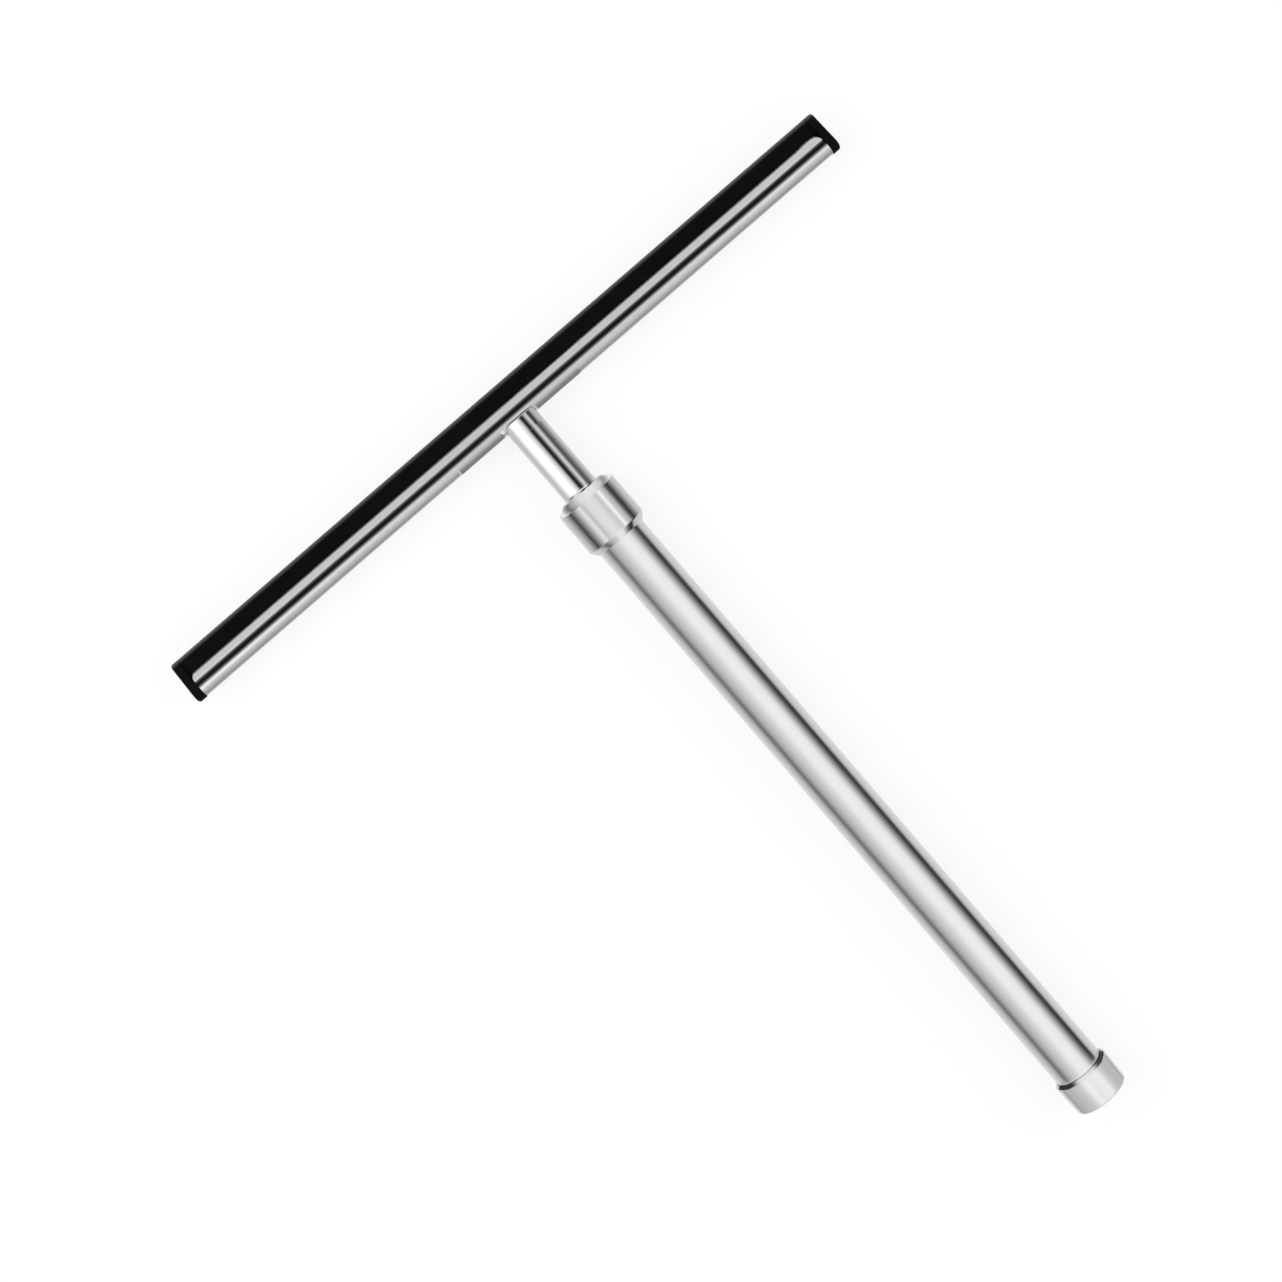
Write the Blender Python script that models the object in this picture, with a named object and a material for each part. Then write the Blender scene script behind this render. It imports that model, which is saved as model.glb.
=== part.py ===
"""Telescopic squeegee for glass and tiles, lying on its back.

X runs along the blade, +Y points from the handle to the rubber's edge, and +Z up from the surface
that it lies on. The origin is on that surface, under the middle of the whole length.
Sizes are in metres. A station is a place along the handle's axis: 0 is the back of the channel,
and the handle lies below 0.
"""

import math

import bmesh
import bpy
from mathutils import Vector

MM = 0.001

# Space left between pieces that touch or slide
GAP = 0.3 * MM

# Rubber strip
BLADE_WIDTH = 280.0 * MM
RUBBER_REACH = 6.4 * MM
RUBBER_EDGE = 1.6 * MM

# Channel, folded from one sheet: a round bulb at the back and two flat lips
CHANNEL_HEIGHT = 8.7 * MM
CHANNEL_BULB = 5.9 * MM
CHANNEL_MOUTH_DEPTH = 3.6 * MM
CHANNEL_SHEET = 0.7 * MM
CHANNEL_BEND = 2.8 * MM
CHANNEL_CORNER = 2.8 * MM

# Plastic caps on the ends of the channel
CAP_LENGTH = 3.2 * MM
CAP_PROUD = 0.2 * MM
CAP_NOSE_DEPTH = 3.0 * MM
CAP_NOSE_ROUND = 1.3 * MM
CAP_CROWN = 1.1 * MM
CAP_PEG = 6.5 * MM

# Neck, which is the inner tube
NECK_DIAMETER = 12.7 * MM
NECK_WALL = 0.8 * MM
NECK_SHOWN = 28.3 * MM
NECK_LAP = 3.0 * MM
NECK_PLUG_LENGTH = 20.0 * MM

# Guide bush, handle tube and collar
BUSH_WALL = 1.3 * MM
BUSH_FLANGE = 1.6 * MM
BUSH_LENGTH = 22.0 * MM
HANDLE_WALL = 0.8 * MM
HANDLE_SHOWN = 239.0 * MM
COLLAR_WALL = 2.0 * MM
COLLAR_LENGTH = 21.3 * MM
COLLAR_SLOPE = 3.4 * MM
COLLAR_ROUND = 3.3 * MM
COLLAR_CHAMFER = 2.0 * MM
COLLAR_FLOOR = 3.2 * MM

# Cup and plug on the far end of the handle
CUP_WALL = 0.85 * MM
CUP_BEVEL = 0.6 * MM
CUP_BEVEL_LENGTH = 0.9 * MM
CUP_LENGTH = 12.1 * MM
CUP_TAPER = 0.3 * MM
CUP_FLOOR = 0.8 * MM
CUP_CORNER = 1.1 * MM
PLUG_FLANGE = 2.4 * MM
PLUG_LENGTH = 14.0 * MM
PLUG_HOLLOW_WALL = 1.8 * MM

# Twist lock on the lower end of the neck, clear of the plug when the neck is pushed in
LOCK_CLEARANCE = 8.5 * MM
LOCK_TRAVEL_TURN = math.radians(180.0)
STUD_LEAD = 2.0 * MM
STUD_DIAMETER = 6.0 * MM
STUD_SET = 14.0 * MM
STUD_TAIL = 2.0 * MM
LOCK_PLUG_LENGTH = 26.0 * MM
LOCK_PLUG_FLANGE = 2.5 * MM
PIN_DIAMETER = 3.0 * MM
PIN_HEIGHT = 20.0 * MM
SLEEVE_LENGTH = 20.0 * MM
SLEEVE_LIP = 0.9 * MM
SLEEVE_SLOT = 1.6 * MM
SLEEVE_SLOT_LENGTH = 14.5 * MM
DRAG_RING_SECTION = 1.6 * MM
DRAG_RING_DEPTH = 1.8 * MM
CONE_TAPER = 12.0 * MM
CONE_BASE = 4.0 * MM
CONE_ANGLE = math.radians(12.0)
CLIP_THICKNESS = 1.2 * MM
CLIP_WIDTH = 2.6 * MM
CLIP_GROOVE = 0.6 * MM
CLIP_OPENING = math.radians(70.0)

# How finely round shapes are drawn
ROUND_STEPS = 64
SMALL_STEPS = 32
CORNER_STEPS = 5
BULB_STEPS = 10
SHARP_ANGLE = math.radians(28.0)

# Sizes that follow from those above
NECK_RADIUS = NECK_DIAMETER / 2
NECK_BORE = NECK_RADIUS - NECK_WALL
BUSH_BORE = NECK_RADIUS + GAP
HANDLE_BORE = BUSH_BORE + BUSH_WALL + GAP
HANDLE_RADIUS = HANDLE_BORE + HANDLE_WALL
COLLAR_BORE = HANDLE_RADIUS + GAP
COLLAR_RADIUS = COLLAR_BORE + COLLAR_WALL
CUP_BORE = HANDLE_RADIUS + GAP
CUP_RADIUS = CUP_BORE + CUP_WALL
BULB_RADIUS = CHANNEL_BULB / 2
BULB_BORE = BULB_RADIUS - CHANNEL_SHEET
MOUTH_HALF = CHANNEL_MOUTH_DEPTH / 2
WEB_HALF = MOUTH_HALF - CHANNEL_SHEET - GAP
STUD_RADIUS = STUD_DIAMETER / 2
STUD_BORE = STUD_RADIUS + GAP

# Stations along the handle's axis
RUBBER_TIP = CHANNEL_HEIGHT + RUBBER_REACH
COLLAR_TOP = -NECK_SHOWN
COLLAR_BOTTOM = COLLAR_TOP - COLLAR_LENGTH
BUSH_TOP = COLLAR_TOP - COLLAR_FLOOR - GAP
HANDLE_TOP = BUSH_TOP - BUSH_FLANGE - GAP
CUP_RIM = COLLAR_BOTTOM - HANDLE_SHOWN
CUP_END = CUP_RIM - CUP_LENGTH
PLUG_BOTTOM = CUP_END + CUP_FLOOR + GAP
HANDLE_BOTTOM = PLUG_BOTTOM + PLUG_FLANGE + GAP
PLUG_TOP = HANDLE_BOTTOM - GAP + PLUG_LENGTH
STUD_BOTTOM = PLUG_TOP + LOCK_CLEARANCE
CLIP_TOP = STUD_BOTTOM + STUD_TAIL + CLIP_THICKNESS
CONE_TRAVEL = STUD_LEAD * LOCK_TRAVEL_TURN / math.tau
CONE_BOTTOM = CLIP_TOP + GAP + CONE_TRAVEL
SLEEVE_BOTTOM = CONE_BOTTOM + CONE_BASE
SLEEVE_TOP = SLEEVE_BOTTOM + SLEEVE_LENGTH
LOCK_FLANGE = SLEEVE_TOP + GAP
NECK_BOTTOM = LOCK_FLANGE + LOCK_PLUG_FLANGE + GAP

# The channel's cross-section: where its bulb and the bend between bulb and lip are centred
BULB_CENTRE = Vector((BULB_RADIUS, 0.0))
BEND_DEPTH = MOUTH_HALF + CHANNEL_BEND
BEND_REACH = math.sqrt((BULB_RADIUS + CHANNEL_BEND) ** 2 - BEND_DEPTH**2)
BEND_CENTRE = Vector((BULB_RADIUS + BEND_REACH, BEND_DEPTH))
BEND_ANGLE = math.atan2(BEND_DEPTH, BEND_REACH)

# Colour, roughness and metallic value of each finish
POLISHED_STEEL = ((0.80, 0.80, 0.81), 0.08, 1.0)
SATIN_STEEL = ((0.62, 0.62, 0.63), 0.32, 1.0)
PLAIN_STEEL = ((0.55, 0.55, 0.56), 0.40, 1.0)
BLACK_RUBBER = ((0.012, 0.012, 0.013), 0.55, 0.0)
BLACK_PLASTIC = ((0.015, 0.015, 0.016), 0.38, 0.0)
WHITE_NYLON = ((0.78, 0.77, 0.73), 0.45, 0.0)


def clear_scene():
    """Remove whatever the file opened with."""
    for obj in list(bpy.data.objects):
        bpy.data.objects.remove(obj)


def axis(name, parent=None):
    """An empty on the handle's axis that carries the pieces of one moving group."""
    empty = bpy.data.objects.new(name, None)
    empty.empty_display_size = 10 * MM
    empty.parent = parent
    bpy.context.collection.objects.link(empty)
    return empty


def principled(name, finish):
    """A material of its own for one piece."""
    colour, roughness, metallic = finish
    material = bpy.data.materials.new(name)
    material.use_nodes = True
    shader = material.node_tree.nodes["Principled BSDF"]
    shader.inputs["Base Color"].default_value = (*colour, 1.0)
    shader.inputs["Roughness"].default_value = roughness
    shader.inputs["Metallic"].default_value = metallic
    return material


def piece(name, bm, finish, parent):
    """Turn a bmesh into a named object on its parent."""
    bmesh.ops.recalc_face_normals(bm, faces=bm.faces)
    mesh = bpy.data.meshes.new(name)
    bm.to_mesh(mesh)
    bm.free()
    mesh.shade_smooth()
    mesh.set_sharp_from_angle(angle=SHARP_ANGLE)
    obj = bpy.data.objects.new(name, mesh)
    obj.data.materials.append(principled(name, finish))
    obj.parent = parent
    bpy.context.collection.objects.link(obj)
    return obj


def arc(centre, radius, start, end, steps):
    """Points on an arc from one angle to another, measured from the first axis."""
    angles = (start + (end - start) * step / steps for step in range(steps + 1))
    return [centre + radius * Vector((math.cos(a), math.sin(a))) for a in angles]


def rounded(corner, before, after, radius, steps=CORNER_STEPS):
    """The arc that rounds a corner of an outline between its two neighbours."""
    towards_before = (before - corner).normalized()
    towards_after = (after - corner).normalized()
    half = towards_before.angle(towards_after) / 2
    centre = corner + (towards_before + towards_after).normalized() * radius / math.sin(half)
    first = corner + towards_before * radius / math.tan(half) - centre
    last = corner + towards_after * radius / math.tan(half) - centre
    start = math.atan2(first.y, first.x)
    sweep = (math.atan2(last.y, last.x) - start + math.pi) % math.tau - math.pi
    return arc(centre, radius, start, start + sweep, steps)


def turned_mesh(outline, steps, sweep=math.tau):
    """Spin an outline of (radius, station) points round the Y axis."""
    bm = bmesh.new()
    ring = [bm.verts.new((radius, station, 0.0)) for radius, station in outline]
    closed = all(radius > 0.0 for radius, _ in outline)
    edges = [bm.edges.new(pair) for pair in zip(ring, ring[1:])]
    if closed:
        edges.append(bm.edges.new((ring[-1], ring[0])))
    whole = math.isclose(sweep, math.tau)
    bmesh.ops.spin(
        bm, geom=ring + edges, cent=(0.0, 0.0, 0.0), axis=(0.0, 1.0, 0.0),
        angle=sweep, steps=steps, use_merge=whole,
    )
    bmesh.ops.remove_doubles(bm, verts=bm.verts, dist=GAP / 1000)
    if not whole:
        bmesh.ops.holes_fill(bm, edges=[edge for edge in bm.edges if edge.is_boundary])
    return bm


def loft_mesh(rings):
    """Join rings of equally many points and close both ends."""
    bm = bmesh.new()
    loops = [[bm.verts.new(point) for point in ring] for ring in rings]
    count = len(loops[0])
    for lower, upper in zip(loops, loops[1:]):
        for i in range(count):
            j = (i + 1) % count
            bm.faces.new((lower[i], lower[j], upper[j], upper[i]))
    bm.faces.new(loops[0][::-1])
    bm.faces.new(loops[-1])
    return bm


def across(outline, x):
    """Place an outline of (station, depth) points at a distance along the blade."""
    return [Vector((x, station, depth)) for station, depth in outline]


def mirrored(half):
    """Close a half outline, drawn on one side of the blade's middle plane."""
    other_side = [Vector((point.x, -point.y)) for point in reversed(half) if point.y > 0.0]
    return list(half) + other_side


def cutter(name, bm, parent):
    """A shape that is only cut from others or joined to them."""
    obj = piece(name, bm, PLAIN_STEEL, parent)
    obj.hide_render = True
    obj.display_type = "WIRE"
    return obj


def combine(obj, other, operation="DIFFERENCE"):
    """Cut another shape from an object, or join it on."""
    modifier = obj.modifiers.new(other.name, "BOOLEAN")
    modifier.operation = operation
    modifier.solver = "EXACT"
    modifier.object = other


def cylinder_between(radius, low, high, steps=SMALL_STEPS):
    """A plain cylinder along the handle's axis."""
    outline = [(0.0, low), (radius, low), (radius, high), (0.0, high)]
    return turned_mesh(outline, steps)


def cross_cylinder(radius, length, station, steps=SMALL_STEPS):
    """A cylinder that lies along X, across the handle's axis."""
    turn = math.tau / steps
    rim = [
        Vector((station + radius * math.cos(i * turn), radius * math.sin(i * turn)))
        for i in range(steps)
    ]
    return loft_mesh([across(rim, -length / 2), across(rim, length / 2)])


def round_rod(centre, radius, low, high, steps=SMALL_STEPS):
    """A plain rod along the blade, between two distances along X."""
    rim = arc(centre, radius, 0.0, math.tau, steps)[:-1]
    return loft_mesh([across(rim, low), across(rim, high)])


def channel_outer(offset=0.0):
    """Half of the channel's outer face, moved outwards by an offset, from its back to its lip."""
    bulb = arc(BULB_CENTRE, BULB_RADIUS + offset, math.pi, BEND_ANGLE, BULB_STEPS)
    bulb[0].y = 0.0
    bend = arc(
        BEND_CENTRE, CHANNEL_BEND - offset, BEND_ANGLE + math.pi, 1.5 * math.pi, CORNER_STEPS
    )
    return bulb + bend[1:]


def channel_half():
    """Half of the sheet's own outline, out along the outer face and back along the inner one."""
    edge = CHANNEL_SHEET / 2
    lip_centre = Vector((CHANNEL_HEIGHT - edge, MOUTH_HALF - edge))
    lip = arc(lip_centre, edge, math.pi / 2, -math.pi / 2, CORNER_STEPS)
    inner_bend = arc(
        BEND_CENTRE, CHANNEL_BEND + CHANNEL_SHEET, 1.5 * math.pi, BEND_ANGLE + math.pi, CORNER_STEPS
    )
    bore = arc(BULB_CENTRE, BULB_BORE, BEND_ANGLE, math.pi, BULB_STEPS)
    bore[-1].y = 0.0
    return channel_outer() + lip + inner_bend + bore[1:]


def channel_reach():
    """Distance from the blade's middle to the end of the channel and of the rubber."""
    return BLADE_WIDTH / 2 - CAP_LENGTH - GAP


def blade_channel(head):
    """Polished channel that holds the rubber, its mouth rounded at both ends."""
    outline = mirrored(channel_half())
    reach = channel_reach()
    channel = piece(
        "blade_channel", loft_mesh([across(outline, -reach), across(outline, reach)]),
        POLISHED_STEEL, head,
    )
    for side in (-1.0, 1.0):
        combine(channel, corner_cutter(side, reach, head))
    return channel


def corner_cutter(side, reach, head):
    """Rounds the mouth's corner at one end of the channel, seen from above."""
    middle = Vector((reach - CHANNEL_CORNER, CHANNEL_HEIGHT - CHANNEL_CORNER))
    curve = arc(middle, CHANNEL_CORNER, 0.0, math.pi / 2, CORNER_STEPS)
    beyond = CHANNEL_CORNER / 2
    outline = curve + [
        Vector((middle.x, CHANNEL_HEIGHT + beyond)),
        Vector((reach + beyond, CHANNEL_HEIGHT + beyond)),
        Vector((reach + beyond, middle.y)),
    ]
    rings = [
        [Vector((side * point.x, point.y, depth)) for point in outline]
        for depth in (-CHANNEL_BULB, CHANNEL_BULB)
    ]
    return cutter(f"channel_corner_{'right' if side > 0 else 'left'}", loft_mesh(rings), head)


def rubber_blade(head):
    """Rubber strip: a round bead in the channel's bulb, and a web that tapers to a square edge."""
    bead = BULB_BORE - GAP
    half = arc(BULB_CENTRE, bead, math.pi, math.asin(WEB_HALF / bead), BULB_STEPS)
    half[0].y = 0.0
    half += [Vector((CHANNEL_HEIGHT, WEB_HALF)), Vector((RUBBER_TIP, RUBBER_EDGE / 2))]
    outline = mirrored(half)
    reach = channel_reach()
    rubber = piece(
        "rubber_blade", loft_mesh([across(outline, -reach), across(outline, reach)]),
        BLACK_RUBBER, head,
    )
    for side in (-1.0, 1.0):
        low, high = sorted((side * (reach - CAP_PEG - GAP), side * (reach + CAP_LENGTH)))
        name = f"rubber_{'right' if side > 0 else 'left'}_peg_space"
        combine(rubber, cutter(name, round_rod(BULB_CENTRE, BULB_BORE, low, high), head))
    return rubber


def flank_angle(back_radius, nose_centre, nose_radius):
    """Direction, from +Y, in which one flank touches both the round back and the nose."""
    between = nose_centre - BULB_CENTRE
    lean = math.acos((back_radius - nose_radius) / between.length)
    return math.atan2(between.y, between.x) + lean


def cap_outline(inset):
    """End cap seen along the blade: a round back that tapers to a narrow nose."""
    back_radius = BULB_RADIUS + CAP_PROUD - inset
    nose_centre = Vector((
        RUBBER_TIP + CAP_PROUD - CAP_NOSE_ROUND, CAP_NOSE_DEPTH / 2 - CAP_NOSE_ROUND,
    ))
    nose_radius = CAP_NOSE_ROUND - inset
    angle = flank_angle(back_radius, nose_centre, nose_radius)
    back = arc(BULB_CENTRE, back_radius, math.pi, angle, BULB_STEPS)
    back[0].y = 0.0
    return mirrored(back + arc(nose_centre, nose_radius, angle, 0.0, CORNER_STEPS))


def end_cap(name, side, head):
    """Plastic cap on one end of the channel, crowned outside, with a peg in the channel's bulb."""
    inner_face = BLADE_WIDTH / 2 - CAP_LENGTH
    crown_steps = 4
    rings = [across(cap_outline(0.0), side * inner_face)]
    for step in range(crown_steps + 1):
        angle = math.pi / 2 * step / crown_steps
        inset = CAP_CROWN * (1.0 - math.cos(angle))
        out = inner_face + CAP_LENGTH - CAP_CROWN * (1.0 - math.sin(angle))
        rings.append(across(cap_outline(inset), side * out))
    cap = piece(name, loft_mesh(rings), BLACK_PLASTIC, head)
    low, high = sorted((side * (inner_face - GAP - CAP_PEG), side * (inner_face + CAP_LENGTH / 2)))
    peg = cutter(f"{name}_peg", round_rod(BULB_CENTRE, BULB_BORE - GAP, low, high), head)
    combine(cap, peg, "UNION")
    return cap


def cope_cutter(head):
    """The channel's outer shape with a gap round it, which shapes the neck's upper end."""
    outline = mirrored(channel_outer(GAP) + [Vector((CHANNEL_HEIGHT, MOUTH_HALF + GAP))])
    rings = [across(outline, -NECK_DIAMETER), across(outline, NECK_DIAMETER)]
    return cutter("channel_cope", loft_mesh(rings), head)


def inner_tube(head, cope):
    """Neck tube, coped over the channel's back and drilled for the lock plug's pin."""
    outline = [
        (NECK_BORE, NECK_BOTTOM), (NECK_RADIUS, NECK_BOTTOM),
        (NECK_RADIUS, NECK_LAP), (NECK_BORE, NECK_LAP),
    ]
    tube = piece("inner_tube", turned_mesh(outline, ROUND_STEPS), POLISHED_STEEL, head)
    combine(tube, cope)
    combine(tube, pin_hole(head, "inner_tube_pin_hole"))
    return tube


def pin_hole(head, name):
    """Cross hole for the pin, through tube and plug."""
    radius = PIN_DIAMETER / 2 + GAP
    return cutter(name, cross_cylinder(radius, 2 * NECK_DIAMETER, NECK_BOTTOM + PIN_HEIGHT), head)


def neck_plug(head, cope):
    """Solid plug in the neck's upper end, coped with it, which the channel is welded to."""
    plug = piece(
        "neck_plug", cylinder_between(NECK_BORE - GAP, NECK_LAP - NECK_PLUG_LENGTH, NECK_LAP),
        PLAIN_STEEL, head,
    )
    combine(plug, cope)
    return plug


def handle_tube(handle):
    """Satin outer tube, from under the bush's flange to the plug in the cup."""
    outline = [
        (HANDLE_BORE, HANDLE_BOTTOM), (HANDLE_RADIUS, HANDLE_BOTTOM),
        (HANDLE_RADIUS, HANDLE_TOP), (HANDLE_BORE, HANDLE_TOP),
    ]
    return piece("handle_tube", turned_mesh(outline, ROUND_STEPS), SATIN_STEEL, handle)


def guide_bush(handle):
    """Flanged nylon bush in the handle's mouth, which the neck slides through."""
    shank = HANDLE_BORE - GAP
    bottom = BUSH_TOP - BUSH_FLANGE - BUSH_LENGTH
    lead_in = BUSH_WALL / 2
    outline = [
        (BUSH_BORE, BUSH_TOP), (BUSH_BORE, bottom + lead_in), (BUSH_BORE + lead_in, bottom),
        (shank - lead_in / 2, bottom), (shank, bottom + lead_in),
        (shank, BUSH_TOP - BUSH_FLANGE), (HANDLE_RADIUS, BUSH_TOP - BUSH_FLANGE),
        (HANDLE_RADIUS, BUSH_TOP),
    ]
    return piece("guide_bush", turned_mesh(outline, SMALL_STEPS), WHITE_NYLON, handle)


def collar(handle):
    """Polished collar: sloped, rounded shoulder, plain barrel and chamfered lower end."""
    mouth = Vector((BUSH_BORE, COLLAR_TOP))
    shoulder = Vector((COLLAR_RADIUS, COLLAR_TOP - COLLAR_SLOPE))
    chamfer = Vector((COLLAR_RADIUS, COLLAR_BOTTOM + COLLAR_CHAMFER))
    floor = COLLAR_TOP - COLLAR_FLOOR
    chamfer_end = max(COLLAR_RADIUS - COLLAR_CHAMFER, COLLAR_BORE + GAP)
    outline = (
        [mouth]
        + rounded(shoulder, mouth, chamfer, COLLAR_ROUND)
        + [chamfer, Vector((chamfer_end, COLLAR_BOTTOM)), Vector((COLLAR_BORE, COLLAR_BOTTOM))]
        + [Vector((COLLAR_BORE, floor)), Vector((BUSH_BORE, floor))]
    )
    return piece("collar", turned_mesh(outline, ROUND_STEPS), POLISHED_STEEL, handle)


def handle_cup(handle):
    """Satin cup over the far end of the handle, with a bevelled rim round the tube."""
    end_radius = CUP_RADIUS - CUP_TAPER
    rim = Vector((CUP_RADIUS, CUP_RIM - CUP_BEVEL_LENGTH))
    corner = Vector((end_radius, CUP_END))
    inner_corner = Vector((CUP_BORE, CUP_END + CUP_FLOOR))
    outline = (
        [Vector((0.0, CUP_END))]
        + rounded(corner, Vector((0.0, CUP_END)), rim, CUP_CORNER)
        + [rim, Vector((CUP_RADIUS - CUP_BEVEL, CUP_RIM)), Vector((CUP_BORE, CUP_RIM))]
        + rounded(
            inner_corner, Vector((CUP_BORE, CUP_RIM)), Vector((0.0, CUP_END + CUP_FLOOR)),
            CUP_CORNER - CUP_WALL, 3,
        )
        + [Vector((0.0, CUP_END + CUP_FLOOR))]
    )
    return piece("handle_cup", turned_mesh(outline, ROUND_STEPS), SATIN_STEEL, handle)


def cup_plug(handle):
    """Black plug: a hollow shank in the handle's end and a flange that carries the cup."""
    shank = HANDLE_BORE - GAP
    flange = CUP_BORE - GAP
    hollow = shank - PLUG_HOLLOW_WALL
    flange_top = PLUG_BOTTOM + PLUG_FLANGE
    chamfer = CUP_CORNER - CUP_WALL
    outline = [
        (0.0, PLUG_BOTTOM), (flange - chamfer, PLUG_BOTTOM), (flange, PLUG_BOTTOM + chamfer),
        (flange, flange_top), (shank, flange_top), (shank, PLUG_TOP), (hollow, PLUG_TOP),
        (hollow, flange_top), (0.0, flange_top),
    ]
    return piece("cup_plug", turned_mesh(outline, SMALL_STEPS), BLACK_PLASTIC, handle)


def lock_plug(head):
    """Plug in the neck's lower end, with a blind hole for the stud and a cross hole for the pin."""
    shank = NECK_BORE - GAP
    blind = LOCK_FLANGE + LOCK_PLUG_FLANGE + STUD_SET
    flange_top = LOCK_FLANGE + LOCK_PLUG_FLANGE
    top = flange_top + LOCK_PLUG_LENGTH
    outline = [
        (0.0, blind), (STUD_BORE, blind), (STUD_BORE, LOCK_FLANGE), (NECK_RADIUS, LOCK_FLANGE),
        (NECK_RADIUS, flange_top), (shank, flange_top), (shank, top), (0.0, top),
    ]
    plug = piece("lock_plug", turned_mesh(outline, SMALL_STEPS), WHITE_NYLON, head)
    combine(plug, pin_hole(head, "lock_plug_pin_hole"))
    return plug


def plug_pin(head):
    """Pin that fixes the lock plug in the neck, flush with the tube."""
    pin = cross_cylinder(PIN_DIAMETER / 2, NECK_DIAMETER - GAP, NECK_BOTTOM + PIN_HEIGHT)
    return piece("plug_pin", pin, PLAIN_STEEL, head)


def lock_stud(head):
    """Threaded stud, set in the lock plug, with a groove for the clip near its lower end."""
    top = LOCK_FLANGE + LOCK_PLUG_FLANGE + STUD_SET - GAP
    groove_top = CLIP_TOP + GAP
    groove_bottom = CLIP_TOP - CLIP_THICKNESS - GAP
    groove = STUD_RADIUS - CLIP_GROOVE
    edge = STUD_TAIL / 4
    outline = [
        (0.0, STUD_BOTTOM), (STUD_RADIUS - edge, STUD_BOTTOM), (STUD_RADIUS, STUD_BOTTOM + edge),
        (STUD_RADIUS, groove_bottom), (groove, groove_bottom), (groove, groove_top),
        (STUD_RADIUS, groove_top), (STUD_RADIUS, top), (0.0, top),
    ]
    return piece("lock_stud", turned_mesh(outline, SMALL_STEPS), PLAIN_STEEL, head)


def cone_radius(station):
    """Radius of the expander cone's tapered face at a station."""
    base = HANDLE_BORE - GAP - SLEEVE_LIP - GAP / math.cos(CONE_ANGLE)
    return base - max(station - SLEEVE_BOTTOM, 0.0) * math.tan(CONE_ANGLE)


def expander_sleeve(slide):
    """Sleeve that grips the handle's wall: slotted below, where the cone opens it."""
    outer = HANDLE_BORE - GAP
    gap_across = GAP / math.cos(CONE_ANGLE)
    taper_top = SLEEVE_BOTTOM + CONE_TAPER
    taper_top_radius = cone_radius(taper_top) + gap_across
    groove_top = SLEEVE_TOP - DRAG_RING_DEPTH
    groove_bottom = groove_top - DRAG_RING_SECTION - 2 * GAP
    groove = outer - DRAG_RING_SECTION - GAP
    outline = [
        (outer, SLEEVE_BOTTOM), (outer, groove_bottom), (groove, groove_bottom),
        (groove, groove_top), (outer, groove_top), (outer, SLEEVE_TOP), (STUD_BORE, SLEEVE_TOP),
        (STUD_BORE, taper_top + GAP), (taper_top_radius, taper_top + GAP),
        (taper_top_radius, taper_top), (outer - SLEEVE_LIP, SLEEVE_BOTTOM),
    ]
    sleeve = piece(
        "expander_sleeve", turned_mesh(outline, SMALL_STEPS), WHITE_NYLON, slide
    )
    for name, size_x, size_z in (
        ("sleeve_slot_x", 2 * HANDLE_RADIUS, SLEEVE_SLOT),
        ("sleeve_slot_z", SLEEVE_SLOT, 2 * HANDLE_RADIUS),
    ):
        low = SLEEVE_BOTTOM - GAP
        high = SLEEVE_BOTTOM + SLEEVE_SLOT_LENGTH
        combine(sleeve, cutter(name, block(size_x, low, high, size_z), slide))
    return sleeve


def drag_ring(slide):
    """Rubber ring round the sleeve, whose drag on the handle's wall lets the lock start to bite."""
    section = DRAG_RING_SECTION / 2
    station = SLEEVE_TOP - DRAG_RING_DEPTH - GAP - section
    centre = Vector((HANDLE_BORE - GAP - section, station))
    outline = arc(centre, section, 0.0, math.tau, 2 * CORNER_STEPS)[:-1]
    return piece("drag_ring", turned_mesh(outline, SMALL_STEPS), BLACK_RUBBER, slide)


def block(size_x, low, high, size_z):
    """A plain block centred on the handle's axis between two stations."""
    outline = [
        Vector((low, -size_z / 2)), Vector((high, -size_z / 2)),
        Vector((high, size_z / 2)), Vector((low, size_z / 2)),
    ]
    return loft_mesh([across(outline, -size_x / 2), across(outline, size_x / 2)])


def expander_cone(cone_axis):
    """Cone nut on the stud, with two wings in the sleeve's slots that keep it from turning."""
    taper_top = SLEEVE_BOTTOM + CONE_TAPER
    outline = [
        (STUD_BORE, CONE_BOTTOM), (cone_radius(SLEEVE_BOTTOM), CONE_BOTTOM),
        (cone_radius(SLEEVE_BOTTOM), SLEEVE_BOTTOM), (cone_radius(taper_top), taper_top),
        (STUD_BORE, taper_top),
    ]
    cone = piece("expander_cone", turned_mesh(outline, SMALL_STEPS), PLAIN_STEEL, cone_axis)
    wing_reach = HANDLE_BORE - GAP - SLEEVE_LIP / 2
    wings = cutter(
        "cone_wings",
        block(2 * wing_reach, CONE_BOTTOM + CONE_BASE / 2, taper_top - GAP, SLEEVE_SLOT - 2 * GAP),
        cone_axis,
    )
    stud_space = cutter(
        "cone_stud_hole", cylinder_between(STUD_BORE, CONE_BOTTOM - GAP, taper_top + GAP), cone_axis
    )
    combine(cone, wings, "UNION")
    combine(cone, stud_space)
    return cone


def stud_clip(head):
    """Open spring clip in the stud's groove, which stops the cone from running off."""
    bore = STUD_RADIUS - CLIP_GROOVE + GAP
    outline = [
        (bore, CLIP_TOP - CLIP_THICKNESS), (bore + CLIP_WIDTH, CLIP_TOP - CLIP_THICKNESS),
        (bore + CLIP_WIDTH, CLIP_TOP), (bore, CLIP_TOP),
    ]
    ring = turned_mesh(outline, SMALL_STEPS, math.tau - CLIP_OPENING)
    return piece("stud_clip", ring, PLAIN_STEEL, head)


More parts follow.
